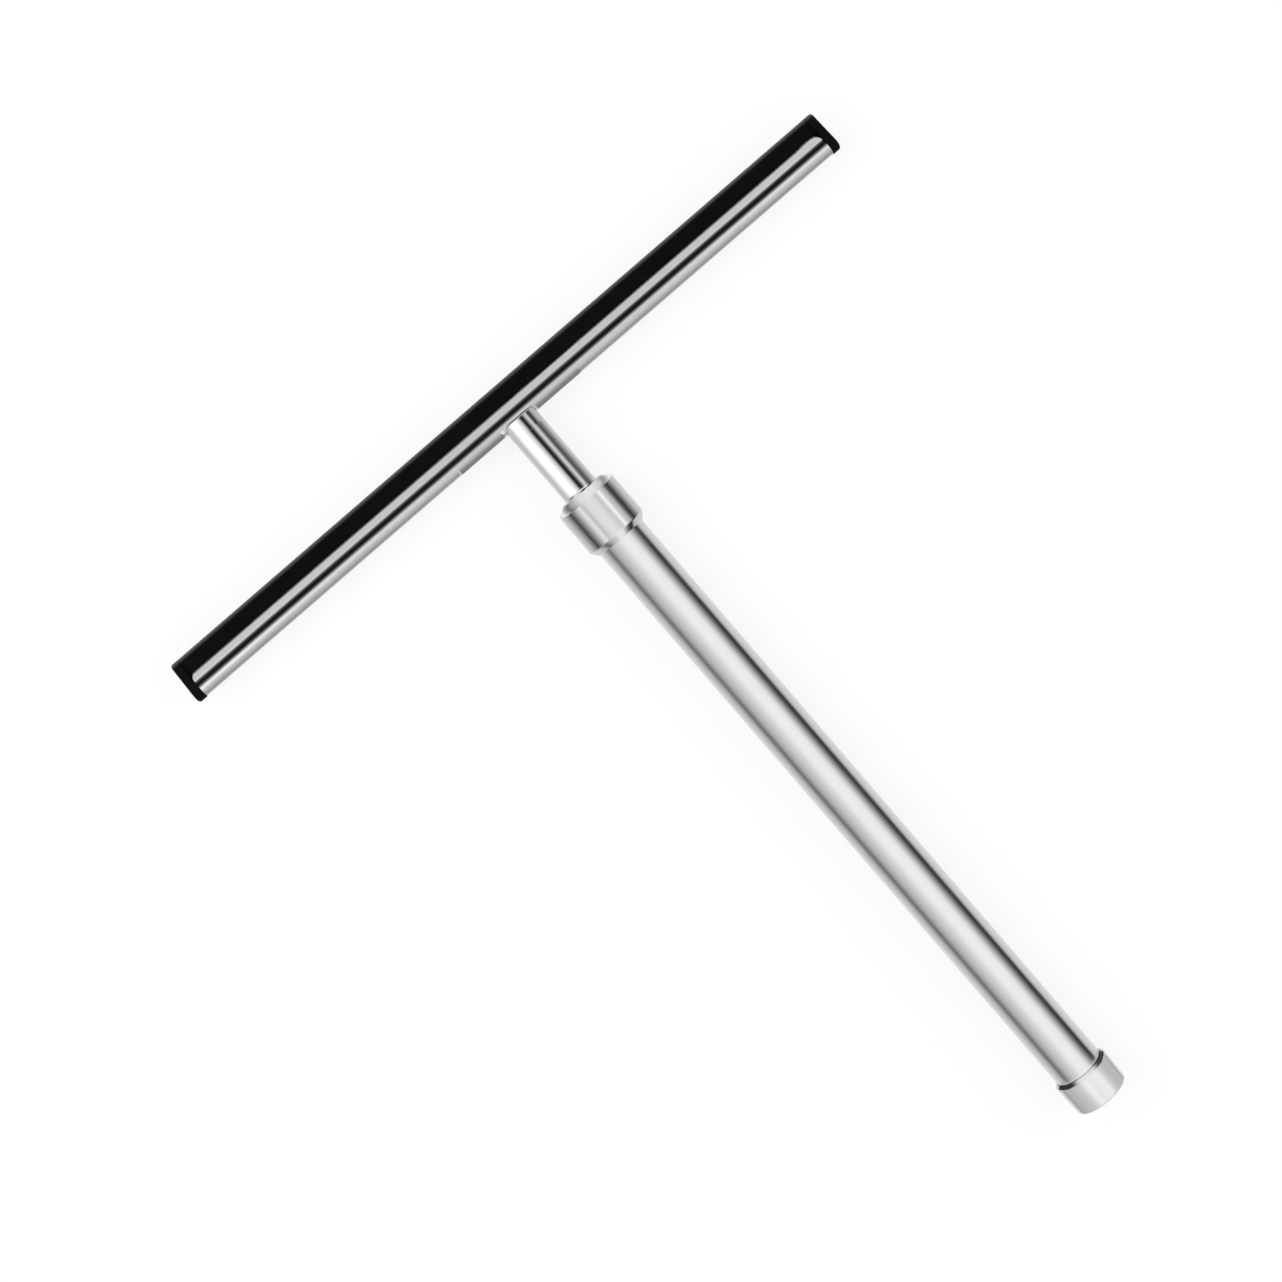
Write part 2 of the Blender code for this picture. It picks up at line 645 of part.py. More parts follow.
def build_head(head):
    """Everything that turns with the neck: blade, channel, neck and the lock's stud."""
    cope = cope_cutter(head)
    blade_channel(head)
    rubber_blade(head)
    end_cap("end_cap_left", -1.0, head)
    end_cap("end_cap_right", 1.0, head)
    inner_tube(head, cope)
    neck_plug(head, cope)
    lock_plug(head)
    plug_pin(head)
    lock_stud(head)
    stud_clip(head)


def build_handle(handle):
    """The outer tube and everything fixed to it."""
    handle_tube(handle)
    guide_bush(handle)
    collar(handle)
    handle_cup(handle)
    cup_plug(handle)


def main():
    clear_scene()
    handle = axis("handle_axis")
    middle = (RUBBER_TIP + CAP_PROUD + CUP_END) / 2
    lying_height = max(COLLAR_RADIUS, CUP_RADIUS, BULB_RADIUS + CAP_PROUD)
    handle.location = (0.0, -middle, lying_height)
    slide = axis("telescope_slide", handle)
    head = axis("head_twist", slide)
    cone_axis = axis("cone_travel", slide)
    build_handle(handle)
    expander_sleeve(slide)
    drag_ring(slide)
    expander_cone(cone_axis)
    build_head(head)


main()
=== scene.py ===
"""Looks of a stainless steel squeegee with a telescopic handle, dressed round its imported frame.

The frame gives every place and the joints. This script adds finely turned and lofted pieces that
stand for the frame's faceted nodes, a procedural finish for each surface, and a small studio.
Lengths are in metres, +Y runs from the handle to the rubber's edge and +Z is up.
"""

import logging
import math
from collections.abc import Mapping, Sequence
from dataclasses import dataclass, field
from enum import Enum

import bmesh
import bpy
from mathutils import Matrix, Vector


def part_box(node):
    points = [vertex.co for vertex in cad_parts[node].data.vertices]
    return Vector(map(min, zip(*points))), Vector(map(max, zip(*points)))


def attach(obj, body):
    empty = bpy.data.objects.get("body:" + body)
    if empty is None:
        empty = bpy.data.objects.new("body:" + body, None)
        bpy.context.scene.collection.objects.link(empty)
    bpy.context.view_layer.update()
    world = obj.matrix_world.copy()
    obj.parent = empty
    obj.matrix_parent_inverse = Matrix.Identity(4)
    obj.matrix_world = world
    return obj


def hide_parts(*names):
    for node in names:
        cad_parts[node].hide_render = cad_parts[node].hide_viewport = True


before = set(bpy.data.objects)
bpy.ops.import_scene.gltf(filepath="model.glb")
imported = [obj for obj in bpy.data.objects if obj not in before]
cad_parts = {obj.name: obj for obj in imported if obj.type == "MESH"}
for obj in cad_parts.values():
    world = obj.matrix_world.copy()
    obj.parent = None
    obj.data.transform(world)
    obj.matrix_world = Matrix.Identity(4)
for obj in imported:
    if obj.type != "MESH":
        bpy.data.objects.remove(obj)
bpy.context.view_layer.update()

LOG = logging.getLogger("squeegee")
MM = 0.001

TURNED_STEPS = 192
FILLET_STEPS = 8
BULB_STEPS = 40
BEND_STEPS = 12
ON_AXIS = 1e-7
STRAIGHT = 1e-6
WHITE = (1.0, 1.0, 1.0, 1.0)
BRIGHTEST = 2.0  # Emission where a reflector's ramp is white

Ring = list[tuple[Vector, Vector]]
Point = tuple[float, float, float]
Colour = tuple[float, float, float]
Rim = tuple[float, float]
Socket = bpy.types.NodeSocket
Sockets = dict[str, Socket]


class Body(Enum):
    """Bodies of the frame that the new pieces ride on."""

    HANDLE = "handle"
    HEAD = "head"


class Slot(Enum):
    """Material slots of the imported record."""

    POLISHED_STEEL = "polished_steel"
    SATIN_STEEL = "satin_steel"
    PLAIN_STEEL = "plain_steel"
    BLACK_RUBBER = "black_rubber"
    BLACK_PLASTIC = "black_plastic"
    WHITE_NYLON = "white_nylon"


class Side(Enum):
    """The two ends of the blade, by the sign of X."""

    LEFT = -1.0
    RIGHT = 1.0


@dataclass(frozen=True)
class Edge:
    """A point of an outline, with the way that the surface faces there.

    Attributes:
        place: The point, in the outline's own plane.
        facing: Unit direction out of the material.
    """

    place: Vector
    facing: Vector


@dataclass(frozen=True)
class Corner:
    """A corner of an outline, rounded by a radius.

    Attributes:
        x: First coordinate: the radius of a turned piece.
        y: Second coordinate: the station of a turned piece.
        radius: Radius of the rounding.
    """

    x: float
    y: float
    radius: float = 0.0


def full_turn(steps: int) -> list[float]:
    """Angles of equal steps round a full turn."""
    return [math.tau * step / steps for step in range(steps)]


def quarter_turn(steps: int) -> list[float]:
    """Angles of equal steps from 0 to a right angle, with both."""
    return [math.pi / 2 * step / steps for step in range(steps + 1)]


def filleted(corners: Sequence[Corner], closed: bool = True) -> list[Edge]:
    """Rounds the corners of an outline that has its material on the left.

    Args:
        corners: Corners in order.
        closed: Whether the last corner joins the first.

    Returns:
        Points along the outline, each with its exact facing.
    """
    edges: list[Edge] = []
    places = [Vector((corner.x, corner.y)) for corner in corners]
    for index, corner in enumerate(corners):
        here = places[index]
        is_end = not closed and index in (0, len(corners) - 1)
        before = (here - places[index - 1]).normalized()
        after = (places[(index + 1) % len(places)] - here).normalized()
        if is_end and index == 0:
            before = after
        elif is_end:
            after = before
        turn = math.atan2(before.x * after.y - before.y * after.x, before.dot(after))
        outward = Vector((before.y, -before.x))
        if is_end or abs(turn) < STRAIGHT:
            edges.append(Edge(here, outward))
            continue
        side = math.copysign(1.0, turn)
        start = here - before * corner.radius * math.tan(abs(turn) / 2)
        centre = start - outward * corner.radius * side
        for step in range(FILLET_STEPS + 1):
            facing = outward.copy()
            facing.rotate(Matrix.Rotation(turn * step / FILLET_STEPS, 2))
            edges.append(Edge(centre + facing * corner.radius * side, facing))
    return edges


def arc_edges(
    centre: Vector, radius: float, start: float, end: float, steps: int, hollow: bool = False
) -> list[Edge]:
    """Points on an arc, facing away from its centre or, where it is hollow, towards it.

    Args:
        centre: Centre of the arc.
        radius: Its radius.
        start: First angle, in radians.
        end: Last angle, in radians.
        steps: Number of steps along it.
        hollow: Whether the surface faces the centre.

    Returns:
        The arc's points with their facings.
    """
    sign = -1.0 if hollow else 1.0
    edges = []
    for step in range(steps + 1):
        angle = start + (end - start) * step / steps
        ray = Vector((math.cos(angle), math.sin(angle)))
        edges.append(Edge(centre + ray * radius, ray * sign))
    return edges


def on_middle(edge: Edge) -> Edge:
    """The edge moved exactly onto the outline's middle line."""
    facing = Vector((math.copysign(1.0, edge.facing.x), 0.0))
    return Edge(Vector((edge.place.x, 0.0)), facing)


def mirrored(half: Sequence[Edge]) -> list[Edge]:
    """Completes an outline that is the same on both sides of its first axis.

    Args:
        half: The half on the positive side, with its ends on the axis.

    Returns:
        The half, and its mirror image without doubled points.
    """
    other = [
        Edge(Vector((edge.place.x, -edge.place.y)), Vector((edge.facing.x, -edge.facing.y)))
        for edge in reversed(half)
        if edge.place.y > ON_AXIS
    ]
    return list(half) + other


def skinned(name: str, rings: Sequence[Ring], wrap: bool = False) -> bpy.types.Object:
    """Joins closed rings of points into one closed body with exact normals.

    Args:
        name: Name of the object.
        rings: Rings of (point, normal), all of one length, or of one point where the body closes.
        wrap: Whether the last ring joins the first. Otherwise full end rings are capped flat.

    Returns:
        The new object, linked to the scene.
    """
    bm = bmesh.new()
    normals: list[Vector] = []
    made = []
    for ring in rings:
        made.append([bm.verts.new(point) for point, _ in ring])
        normals.extend(normal.normalized() for _, normal in ring)
    pairs = list(zip(made, made[1:]))
    if wrap:
        pairs.append((made[-1], made[0]))
    for low, high in pairs:
        count = max(len(low), len(high))
        for index in range(count):
            after = (index + 1) % count
            if len(low) == 1:
                bm.faces.new((low[0], high[after], high[index]))
            elif len(high) == 1:
                bm.faces.new((low[index], low[after], high[0]))
            else:
                bm.faces.new((low[index], low[after], high[after], high[index]))
    for face in bm.faces:
        face.smooth = True
    if not wrap:
        for ring in (made[0], made[-1]):
            if len(ring) > 1:
                bm.faces.new(ring)
    bmesh.ops.recalc_face_normals(bm, faces=bm.faces[:])
    mesh = bpy.data.meshes.new(name)
    bm.to_mesh(mesh)
    bm.free()
    loop_normals = [Vector()] * len(mesh.loops)
    for polygon in mesh.polygons:
        for loop in polygon.loop_indices:
            vertex = mesh.loops[loop].vertex_index
            loop_normals[loop] = normals[vertex] if polygon.use_smooth else polygon.normal.copy()
    mesh.normals_split_custom_set(loop_normals)
    obj = bpy.data.objects.new(name, mesh)
    bpy.context.scene.collection.objects.link(obj)
    return obj


def turned(facing: Vector, angle: float) -> Vector:
    """The facing of an outline that is turned about Y, at an angle round it."""
    return Vector((facing.x * math.cos(angle), facing.y, facing.x * math.sin(angle)))


@dataclass(frozen=True)
class Lathe:
    """Turns outlines about an axis along Y.

    Attributes:
        height: Height of the axis above the floor.
    """

    height: float

    def point(self, radius: float, station: float, angle: float) -> Vector:
        """The point at a radius, station and angle."""
        return Vector((radius * math.cos(angle), station, self.height + radius * math.sin(angle)))

    def ring(self, edge: Edge, steps: int = TURNED_STEPS) -> Ring:
        """Turns one point of the outline.

        Args:
            edge: The point, as (radius, station).
            steps: Number of steps round the axis.

        Returns:
            A full ring, or a single point where that is on the axis.
        """
        if edge.place.x < ON_AXIS:
            return [(self.point(0.0, edge.place.y, 0.0), Vector((0.0, edge.facing.y, 0.0)))]
        return [
            (self.point(edge.place.x, edge.place.y, angle), turned(edge.facing, angle))
            for angle in full_turn(steps)
        ]

    def turn(self, name: str, edges: Sequence[Edge]) -> bpy.types.Object:
        """Turns an outline into a body.

        Args:
            name: Name of the object.
            edges: The outline, as (radius, station). It is open where it starts on the axis.

        Returns:
            The turned object.
        """
        is_open = edges[0].place.x < ON_AXIS
        return skinned(name, [self.ring(edge) for edge in edges], wrap=not is_open)


# Shader node groups


class Wiring:
    """Adds and links the nodes of one node tree, from left to right."""

    def __init__(self, tree: bpy.types.NodeTree) -> None:
        """Starts with an empty tree."""
        self.tree = tree
        self.column = 0
        tree.nodes.clear()

    def add(
        self, kind: str, values: dict[str, object] | None = None, **settings: object
    ) -> bpy.types.Node:
        """Adds a node.

        Args:
            kind: Blender's name of the node type.
            values: Values or source sockets for its inputs, by name or by number as text.
            settings: The node's own settings.

        Returns:
            The new node.
        """
        node = self.tree.nodes.new(kind)
        self.column += 1
        node.location = (200.0 * self.column, -120.0 * (self.column % 4))
        for key, setting in settings.items():
            setattr(node, key, setting)
        for key, value in (values or {}).items():
            socket = node.inputs[int(key)] if key.isdigit() else node.inputs[key]
            if isinstance(value, Socket):
                self.tree.links.new(value, socket)
            else:
                socket.default_value = value
        return node

    def math(self, operation: str, first: object, second: object = 0.0) -> Socket:
        """Result of a math node on two values or sockets."""
        return self.add("ShaderNodeMath", {"0": first, "1": second}, operation=operation).outputs[0]

    def noise(
        self, vector: object, scale: object, detail: float, roughness: float = 0.5,
        distortion: float = 0.0,
    ) -> Socket:
        """Value of a noise texture, from 0 to 1."""
        return self.add("ShaderNodeTexNoise", {
            "Vector": vector, "Scale": scale, "Detail": detail, "Roughness": roughness,
            "Distortion": distortion,
        }).outputs["Fac"]

    def grain(
        self, vector: object, size: object, detail: float, roughness: float = 0.5,
        distortion: float = 0.0,
    ) -> Socket:
        """Value of a noise texture whose marks have about a size."""
        scale = self.math("DIVIDE", 1.0, size)
        return self.noise(vector, scale, detail, roughness, distortion)

    def span(
        self, value: object, low: object, high: object, to_low: object = 0.0,
        to_high: object = 1.0, kind: str = "SMOOTHSTEP",
    ) -> Socket:
        """Maps a value from one range to another, smoothly or, as LINEAR, evenly."""
        return self.add("ShaderNodeMapRange", {
            "Value": value, "From Min": low, "From Max": high, "To Min": to_low, "To Max": to_high,
        }, interpolation_type=kind).outputs["Result"]

    def blend(self, mask: object, first: object, second: object) -> Socket:
        """Colour between two colours, by a mask."""
        return self.add(
            "ShaderNodeMix", {"0": mask, "6": first, "7": second}, data_type="RGBA"
        ).outputs[2]

    def ramp(
        self, value: object, low: float, high: float, stops: Sequence[tuple[float, float]]
    ) -> Socket:
        """Grey that follows stops.

        Args:
            value: Where on the ramp the surface is.
            low: Value at the ramp's start.
            high: Value at its end.
            stops: (value, level), in order.

        Returns:
            The grey.
        """
        share = self.span(value, low, high, kind="LINEAR")
        node = self.add("ShaderNodeValToRGB", {"Fac": share})
        elements = node.color_ramp.elements
        elements.remove(elements[0])
        for index, (at, level) in enumerate(stops):
            place = (at - low) / (high - low)
            element = elements[0] if index == 0 else elements.new(place)
            element.position = place
            element.color = (level, level, level, 1.0)
        return node.outputs[0]

    def axes(self) -> bpy.types.NodeOutputs:
        """The surface's object coordinates, a socket for each axis."""
        place = self.add("ShaderNodeTexCoord").outputs["Object"]
        return self.add("ShaderNodeSeparateXYZ", {"Vector": place}).outputs

    def seen(self) -> Socket:
        """1 where the camera looks straight, in a reflection or through glass, and 0 elsewhere."""
        path = self.add("ShaderNodeLightPath").outputs
        seen = self.math("MAXIMUM", path["Is Camera Ray"], path["Is Glossy Ray"])
        return self.math("MAXIMUM", seen, path["Is Transmission Ray"])

    def glow(self, colour: object, strength: object) -> bpy.types.Node:
        """An emission shader."""
        return self.add("ShaderNodeEmission", {"Color": colour, "Strength": strength})

    def mixed(
        self, share: Socket, first: bpy.types.Node, second: bpy.types.Node
    ) -> bpy.types.Node:
        """A mix of two shaders, by the share of the second."""
        return self.add(
            "ShaderNodeMixShader", {"0": share, "1": first.outputs[0], "2": second.outputs[0]}
        )

    def surface(self, shader: bpy.types.Node) -> None:
        """Makes a shader the material's surface."""
        self.add("ShaderNodeOutputMaterial", {"Surface": shader.outputs[0]})


def new_material(name: str) -> tuple[bpy.types.Material, Wiring]:
    """A new material, and the wiring of its empty node tree."""
    material = bpy.data.materials.new(name)
    material.use_nodes = True
    return material, Wiring(material.node_tree)


class ShaderGroup:
    """A shader node group with named inputs and outputs, built once and used by many materials."""

    name: str
    inputs: Mapping[str, float]
    outputs: tuple[str, ...]

    def tree(self) -> bpy.types.NodeTree:
        """The group's node tree, built the first time that it is asked for."""
        existing = bpy.data.node_groups.get(self.name)
        if existing is not None:
            return existing
        tree = bpy.data.node_groups.new(self.name, "ShaderNodeTree")
        new_socket = tree.interface.new_socket
        new_socket("Vector", in_out="INPUT", socket_type="NodeSocketVector")
        for name, value in self.inputs.items():
            socket = new_socket(name, in_out="INPUT", socket_type="NodeSocketFloat")
            socket.default_value = value
        for name in self.outputs:
            new_socket(name, in_out="OUTPUT", socket_type="NodeSocketFloat")
        wiring = Wiring(tree)
        entry = wiring.add("NodeGroupInput").outputs
        given = {name: entry[name] for name in ("Vector", *self.inputs)}
        wiring.add("NodeGroupOutput", dict(self.wire(wiring, given)))
        return tree

    def wire(self, wiring: Wiring, given: Sockets) -> Sockets:
        """Builds the inside of the group.

        Args:
            wiring: Adds nodes to the group's tree.
            given: The group's input sockets by name: a Vector, and the group's own inputs.

        Returns:
            The socket for each output by name.
        """
        raise NotImplementedError

    def place(self, wiring: Wiring, **values: object) -> Sockets:
        """Places the group in a material's tree.

        Args:
            wiring: Adds nodes to the material's tree.
            values: Values or sockets for its inputs, by their names in small letters.

        Returns:
            The group's output sockets by name.
        """
        given = {key.replace("_", " ").title(): value for key, value in values.items()}
        node = wiring.add("ShaderNodeGroup", given, node_tree=self.tree())
        return {name: node.outputs[name] for name in self.outputs}


class FineGrain(ShaderGroup):
    """Even, fine grain of a moulded or blasted surface."""

    name = "fine_grain"
    inputs = {"Size": 0.3 * MM, "Mottle Size": 6.0 * MM}
    outputs = ("Height", "Mottle")

    def wire(self, wiring: Wiring, given: Sockets) -> Sockets:
        """Fine noise for height and a broad one for uneven colour."""
        fine = wiring.grain(given["Vector"], given["Size"], 3.0, 0.6)
        broad = wiring.grain(given["Vector"], given["Mottle Size"], 4.0)
        return {"Height": fine, "Mottle": wiring.span(broad, 0.3, 0.7)}


class BrushedLines(ShaderGroup):
    """Fine lines left by brushing or turning, long in one direction."""

    name = "brushed_lines"
    inputs = {"Line Width": 0.12 * MM, "Stretch": 60.0, "Along Y": 1.0}
    outputs = ("Height", "Streak")

    def wire(self, wiring: Wiring, given: Sockets) -> Sockets:
        """Noise squeezed across the lines, with a coarser one for streaks."""
        across = wiring.math("DIVIDE", 1.0, given["Line Width"])
        along = wiring.math("DIVIDE", across, given["Stretch"])
        step = wiring.math("SUBTRACT", along, across)
        scale_y = wiring.math("ADD", across, wiring.math("MULTIPLY", step, given["Along Y"]))
        back = wiring.math("MULTIPLY", step, wiring.math("SUBTRACT", 1.0, given["Along Y"]))
        scale_x = wiring.math("ADD", across, back)
        scales = wiring.add("ShaderNodeCombineXYZ", {"X": scale_x, "Y": scale_y, "Z": scale_x})
        squeezed = wiring.add(
            "ShaderNodeVectorMath", {"0": given["Vector"], "1": scales.outputs[0]},
            operation="MULTIPLY",
        ).outputs[0]
        fine = wiring.noise(squeezed, 1.0, 4.0, 0.7)
        coarse = wiring.noise(squeezed, 0.18, 2.0)
        return {"Height": fine, "Streak": wiring.span(coarse, 0.35, 0.65)}


class HandlingMarks(ShaderGroup):
    """Faint smudges and hairline scratches from use."""

    name = "handling_marks"
    inputs = {"Smudge Size": 18.0 * MM, "Scratch Width": 0.25 * MM}
    outputs = ("Smudge", "Scratch")

    def wire(self, wiring: Wiring, given: Sockets) -> Sockets:
        """A warped cloud for smudges, and thin bands of stretched noise for scratches."""
        cloud = wiring.grain(given["Vector"], given["Smudge Size"], 5.0, 0.62, 0.8)
        slanted = wiring.add("ShaderNodeMapping", {
            "Vector": given["Vector"], "Rotation": (0.3, 0.2, 0.9), "Scale": (1.0, 0.03, 1.0),
        }).outputs[0]
        hair = wiring.grain(slanted, given["Scratch Width"], 2.0)
        return {"Smudge": wiring.span(cloud, 0.42, 0.72), "Scratch": wiring.span(hair, 0.70, 0.76)}


class EdgeWear(ShaderGroup):
    """Mask of worn, brighter outer edges."""

    name = "edge_wear"
    inputs = {"Start": 0.52, "Full": 0.60, "Patch Size": 3.0 * MM}
    outputs = ("Mask",)

    def wire(self, wiring: Wiring, given: Sockets) -> Sockets:
        """Sharp convex places, broken up by noise."""
        pointed = wiring.add("ShaderNodeNewGeometry").outputs["Pointiness"]
        edges = wiring.span(pointed, given["Start"], given["Full"])
        patches = wiring.grain(given["Vector"], given["Patch Size"], 4.0)
        return {"Mask": wiring.math("MULTIPLY", edges, wiring.span(patches, 0.35, 0.65))}


class SettledDust(ShaderGroup):
    """Mask of the little dust that lies on upward faces."""

    name = "settled_dust"
    inputs = {"Speck Size": 0.5 * MM}
    outputs = ("Mask",)

    def wire(self, wiring: Wiring, given: Sockets) -> Sockets:
        """Specks of noise, only where the surface faces up."""
        normal = wiring.add("ShaderNodeNewGeometry").outputs["Normal"]
        facing = wiring.add("ShaderNodeSeparateXYZ", {"Vector": normal}).outputs["Z"]
        upward = wiring.span(facing, 0.2, 0.95)
        specks = wiring.grain(given["Vector"], given["Speck Size"], 3.0)
        return {"Mask": wiring.math("MULTIPLY", upward, wiring.span(specks, 0.58, 0.75))}


class PaintedTipHighlight(ShaderGroup):
    """Mask of a painted highlight: a paler strip along the edge that wipes, standing in for light
    on its rounded edge.
    """

    name = "painted_tip_highlight"
    inputs = {"Tip": 0.158, "Depth": 1.6 * MM}
    outputs = ("Mask",)

    def wire(self, wiring: Wiring, given: Sockets) -> Sockets:
        """Grows towards the tip, and is uneven along it."""
        station = wiring.add("ShaderNodeSeparateXYZ", {"Vector": given["Vector"]}).outputs["Y"]
        start = wiring.math("SUBTRACT", given["Tip"], given["Depth"])
        share = wiring.span(station, start, given["Tip"], kind="LINEAR")
        uneven = wiring.span(wiring.noise(given["Vector"], 220.0, 3.0), 0.2, 0.8, 0.85, 1.0)
        return {"Mask": wiring.math("MULTIPLY", wiring.math("POWER", share, 1.6), uneven)}


# Finishes


def opaque(colour: Colour) -> tuple[float, float, float, float]:
    """The colour with full alpha."""
    return (*colour, 1.0)


@dataclass(frozen=True)
class Finish:
    """A surface finish that is built as a node material.

    Attributes:
        name: Name of the material.
        colour: Base colour.
    """

    name: str
    colour: Colour

    def material(self) -> bpy.types.Material:
        """The finish's material, built the first time that it is asked for."""
        existing = bpy.data.materials.get(self.name)
        if existing is not None:
            return existing
        material, wiring = new_material(self.name)
        place = wiring.add("ShaderNodeTexCoord").outputs["Object"]
        wiring.surface(wiring.add("ShaderNodeBsdfPrincipled", self.wire(wiring, place)))
        material.diffuse_color = opaque(self.colour)
        return material

    def wire(self, wiring: Wiring, place: Socket) -> dict[str, object]:
        """Builds the finish's colour, roughness and normal.

        Args:
            wiring: Adds nodes to the material's tree.
            place: Object coordinates of the surface.

        Returns:
            Values and sockets for the Principled shader's inputs, by name.
        """
        raise NotImplementedError

    @staticmethod
    def bump(wiring: Wiring, height: Socket, depth: float) -> Socket:
        """Normal of a surface raised by a height map, to a depth in metres."""
        node = wiring.add("ShaderNodeBump", {"Height": height, "Distance": depth, "Strength": 1.0})
        return node.outputs[0]


@dataclass(frozen=True)
class Steel(Finish):
    """Stainless steel, from mirror-polished to satin.

    Attributes:
        roughness: Roughness of the clean metal.
        smudge: How much rougher a smudge is.
        line_width: Width of its finest lines.
        line_depth: Depth of those lines.
        stretch: Length of a line over its width.
        along_y: 1 where the lines run along Y, 0 where they run round the axis.
    """

    roughness: float = 0.1
    smudge: float = 0.05
    line_width: float = 0.1 * MM
    line_depth: float = 0.0005 * MM
    stretch: float = 60.0
    along_y: float = 0.0

    def wire(self, wiring: Wiring, place: Socket) -> dict[str, object]:
        """Brushed lines, handling marks and brighter edges on bare metal."""
        lines = BrushedLines().place(
            wiring, vector=place, line_width=self.line_width, stretch=self.stretch,
            along_y=self.along_y,
        )
        marks = HandlingMarks().place(wiring, vector=place)
        wear = EdgeWear().place(wiring, vector=place)
        dull = tuple(channel * 0.975 for channel in self.colour)
        bright = tuple(min(1.0, channel * 1.06) for channel in self.colour)
        base = wiring.blend(lines["Streak"], opaque(self.colour), opaque(dull))
        rough = wiring.span(
            marks["Smudge"], 0.0, 1.0, self.roughness, self.roughness + self.smudge
        )
        scratch = wiring.math("MULTIPLY", marks["Scratch"], self.smudge)
        return {
            "Base Color": wiring.blend(wear["Mask"], base, opaque(bright)),
            "Roughness": wiring.math("ADD", rough, scratch),
            "Metallic": 1.0,
            "Normal": self.bump(wiring, lines["Height"], self.line_depth),
        }


@dataclass(frozen=True)
class Moulded(Finish):
    """Moulded rubber, plastic or nylon with a fine grain.

    Attributes:
        roughness: Roughness of the clean surface.
        shine: Specular level of the shader.
        grain: Size of the grain.
        grain_depth: Depth of the grain.
        mottle: Colour of the surface's paler patches.
        dust: Colour of dust on it.
        dust_share: Most of the colour that dust hides.
        tip_highlight_colour: Colour of the painted highlight along the edge that wipes.
    """

    roughness: float = 0.5
    shine: float = 0.1
    grain: float = 0.25 * MM
    grain_depth: float = 0.004 * MM
    mottle: Colour = (0.02, 0.02, 0.02)
    dust: Colour = (0.25, 0.24, 0.23)
    dust_share: float = 0.02
    tip_highlight_colour: Colour = (0.15, 0.15, 0.15)

    def wire(self, wiring: Wiring, place: Socket) -> dict[str, object]:
        """Grain, uneven colour, rubbed edges, a trace of dust, and a painted highlight along the
        edge that wipes.
        """
        grain = FineGrain().place(wiring, vector=place, size=self.grain)
        wear = EdgeWear().place(wiring, vector=place)
        dust = SettledDust().place(wiring, vector=place)
        # Painted highlight: the base colour is paled towards the rubber's edge, standing in for
        # light on its rounded tip.
        tip = PaintedTipHighlight().place(wiring, vector=place, tip=stations("rubber_blade")[1])
        base = wiring.blend(grain["Mottle"], opaque(self.colour), opaque(self.mottle))
        hidden = wiring.math("MULTIPLY", dust["Mask"], self.dust_share)
        base = wiring.blend(hidden, base, opaque(self.dust))
        rubbed = max(0.05, self.roughness - 0.12)
        rough = wiring.span(wear["Mask"], 0.0, 1.0, self.roughness, rubbed)
        return {
            # Blends the painted highlight into the base colour at the edge that wipes.
            "Base Color": wiring.blend(tip["Mask"], base, opaque(self.tip_highlight_colour)),
            "Roughness": wiring.math("ADD", rough, wiring.math("MULTIPLY", dust["Mask"], 0.1)),
            "Specular IOR Level": self.shine,
            "Normal": self.bump(wiring, grain["Height"], self.grain_depth),
        }


FINISHES: dict[Slot, Finish] = {
    Slot.POLISHED_STEEL: Steel(
        "mirror_steel", (0.58, 0.58, 0.585), roughness=0.05, smudge=0.03,
        line_width=0.2 * MM, line_depth=0.00005 * MM, stretch=20.0, along_y=1.0,
    ),
    Slot.SATIN_STEEL: Steel(
        "fine_satin_steel", (0.62, 0.62, 0.625), roughness=0.15, smudge=0.03,
        line_width=0.09 * MM, line_depth=0.0008 * MM, stretch=50.0, along_y=0.0,
    ),
    Slot.PLAIN_STEEL: Steel(
        "turned_steel", (0.50, 0.50, 0.51), roughness=0.36, smudge=0.08,
        line_width=0.15 * MM, line_depth=0.004 * MM, stretch=40.0, along_y=0.0,
    ),
    Slot.BLACK_RUBBER: Moulded(
        "matt_black_rubber", (0.0030, 0.0030, 0.0032), roughness=0.55, shine=0.02,
        grain=0.18 * MM, grain_depth=0.002 * MM, mottle=(0.0042, 0.0042, 0.0044),
    ),
    Slot.BLACK_PLASTIC: Moulded(
        "moulded_black_plastic", (0.0034, 0.0034, 0.0036), roughness=0.42, shine=0.03,
        grain=0.3 * MM, grain_depth=0.004 * MM, mottle=(0.0050, 0.0050, 0.0052),
    ),
    Slot.WHITE_NYLON: Moulded(
        "natural_nylon", (0.74, 0.73, 0.69), roughness=0.42, shine=0.45,
        grain=0.4 * MM, grain_depth=0.003 * MM, mottle=(0.80, 0.79, 0.76),
        dust=(0.55, 0.53, 0.50), dust_share=0.04,
    ),
}


def dress(obj: bpy.types.Object, slot: Slot, body: Body, nodes: Sequence[str] = ()) -> None:
    """Gives a piece its finish and its place in the frame.

    Args:
        obj: The piece.
        slot: Material slot of the record that it takes its finish from.
        body: Body that it rides on.
        nodes: CAD nodes that it stands for.
    """
    obj.data.materials.clear()
    obj.data.materials.append(FINISHES[slot].material())
    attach(obj, body.value)
    if nodes:
        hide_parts(*nodes)
    LOG.info("%s: %s on %s, %d faces", obj.name, slot.value, body.value, len(obj.data.polygons))


def refinish(node: str, slot: Slot) -> None:
    """Gives a CAD node that stays in the picture its procedural finish.

    Args:
        node: The node.
        slot: Material slot of the record that it takes its finish from.
    """
    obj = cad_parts[node]
    material = FINISHES[slot].material()
    if obj.material_slots:
        for holder in obj.material_slots:
            holder.material = material
    else:
        obj.data.materials.append(material)
    LOG.info("%s: carried over from the frame, %s", node, slot.value)


# The object


def axis_height() -> float:
    """Height of the handle's axis, from the middle of the collar's box."""
    low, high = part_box("collar")
    return (low.z + high.z) / 2


def stations(node: str) -> tuple[float, float]:
    """Where along Y a CAD node begins and ends."""
    low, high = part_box(node)
    return low.y, high.y


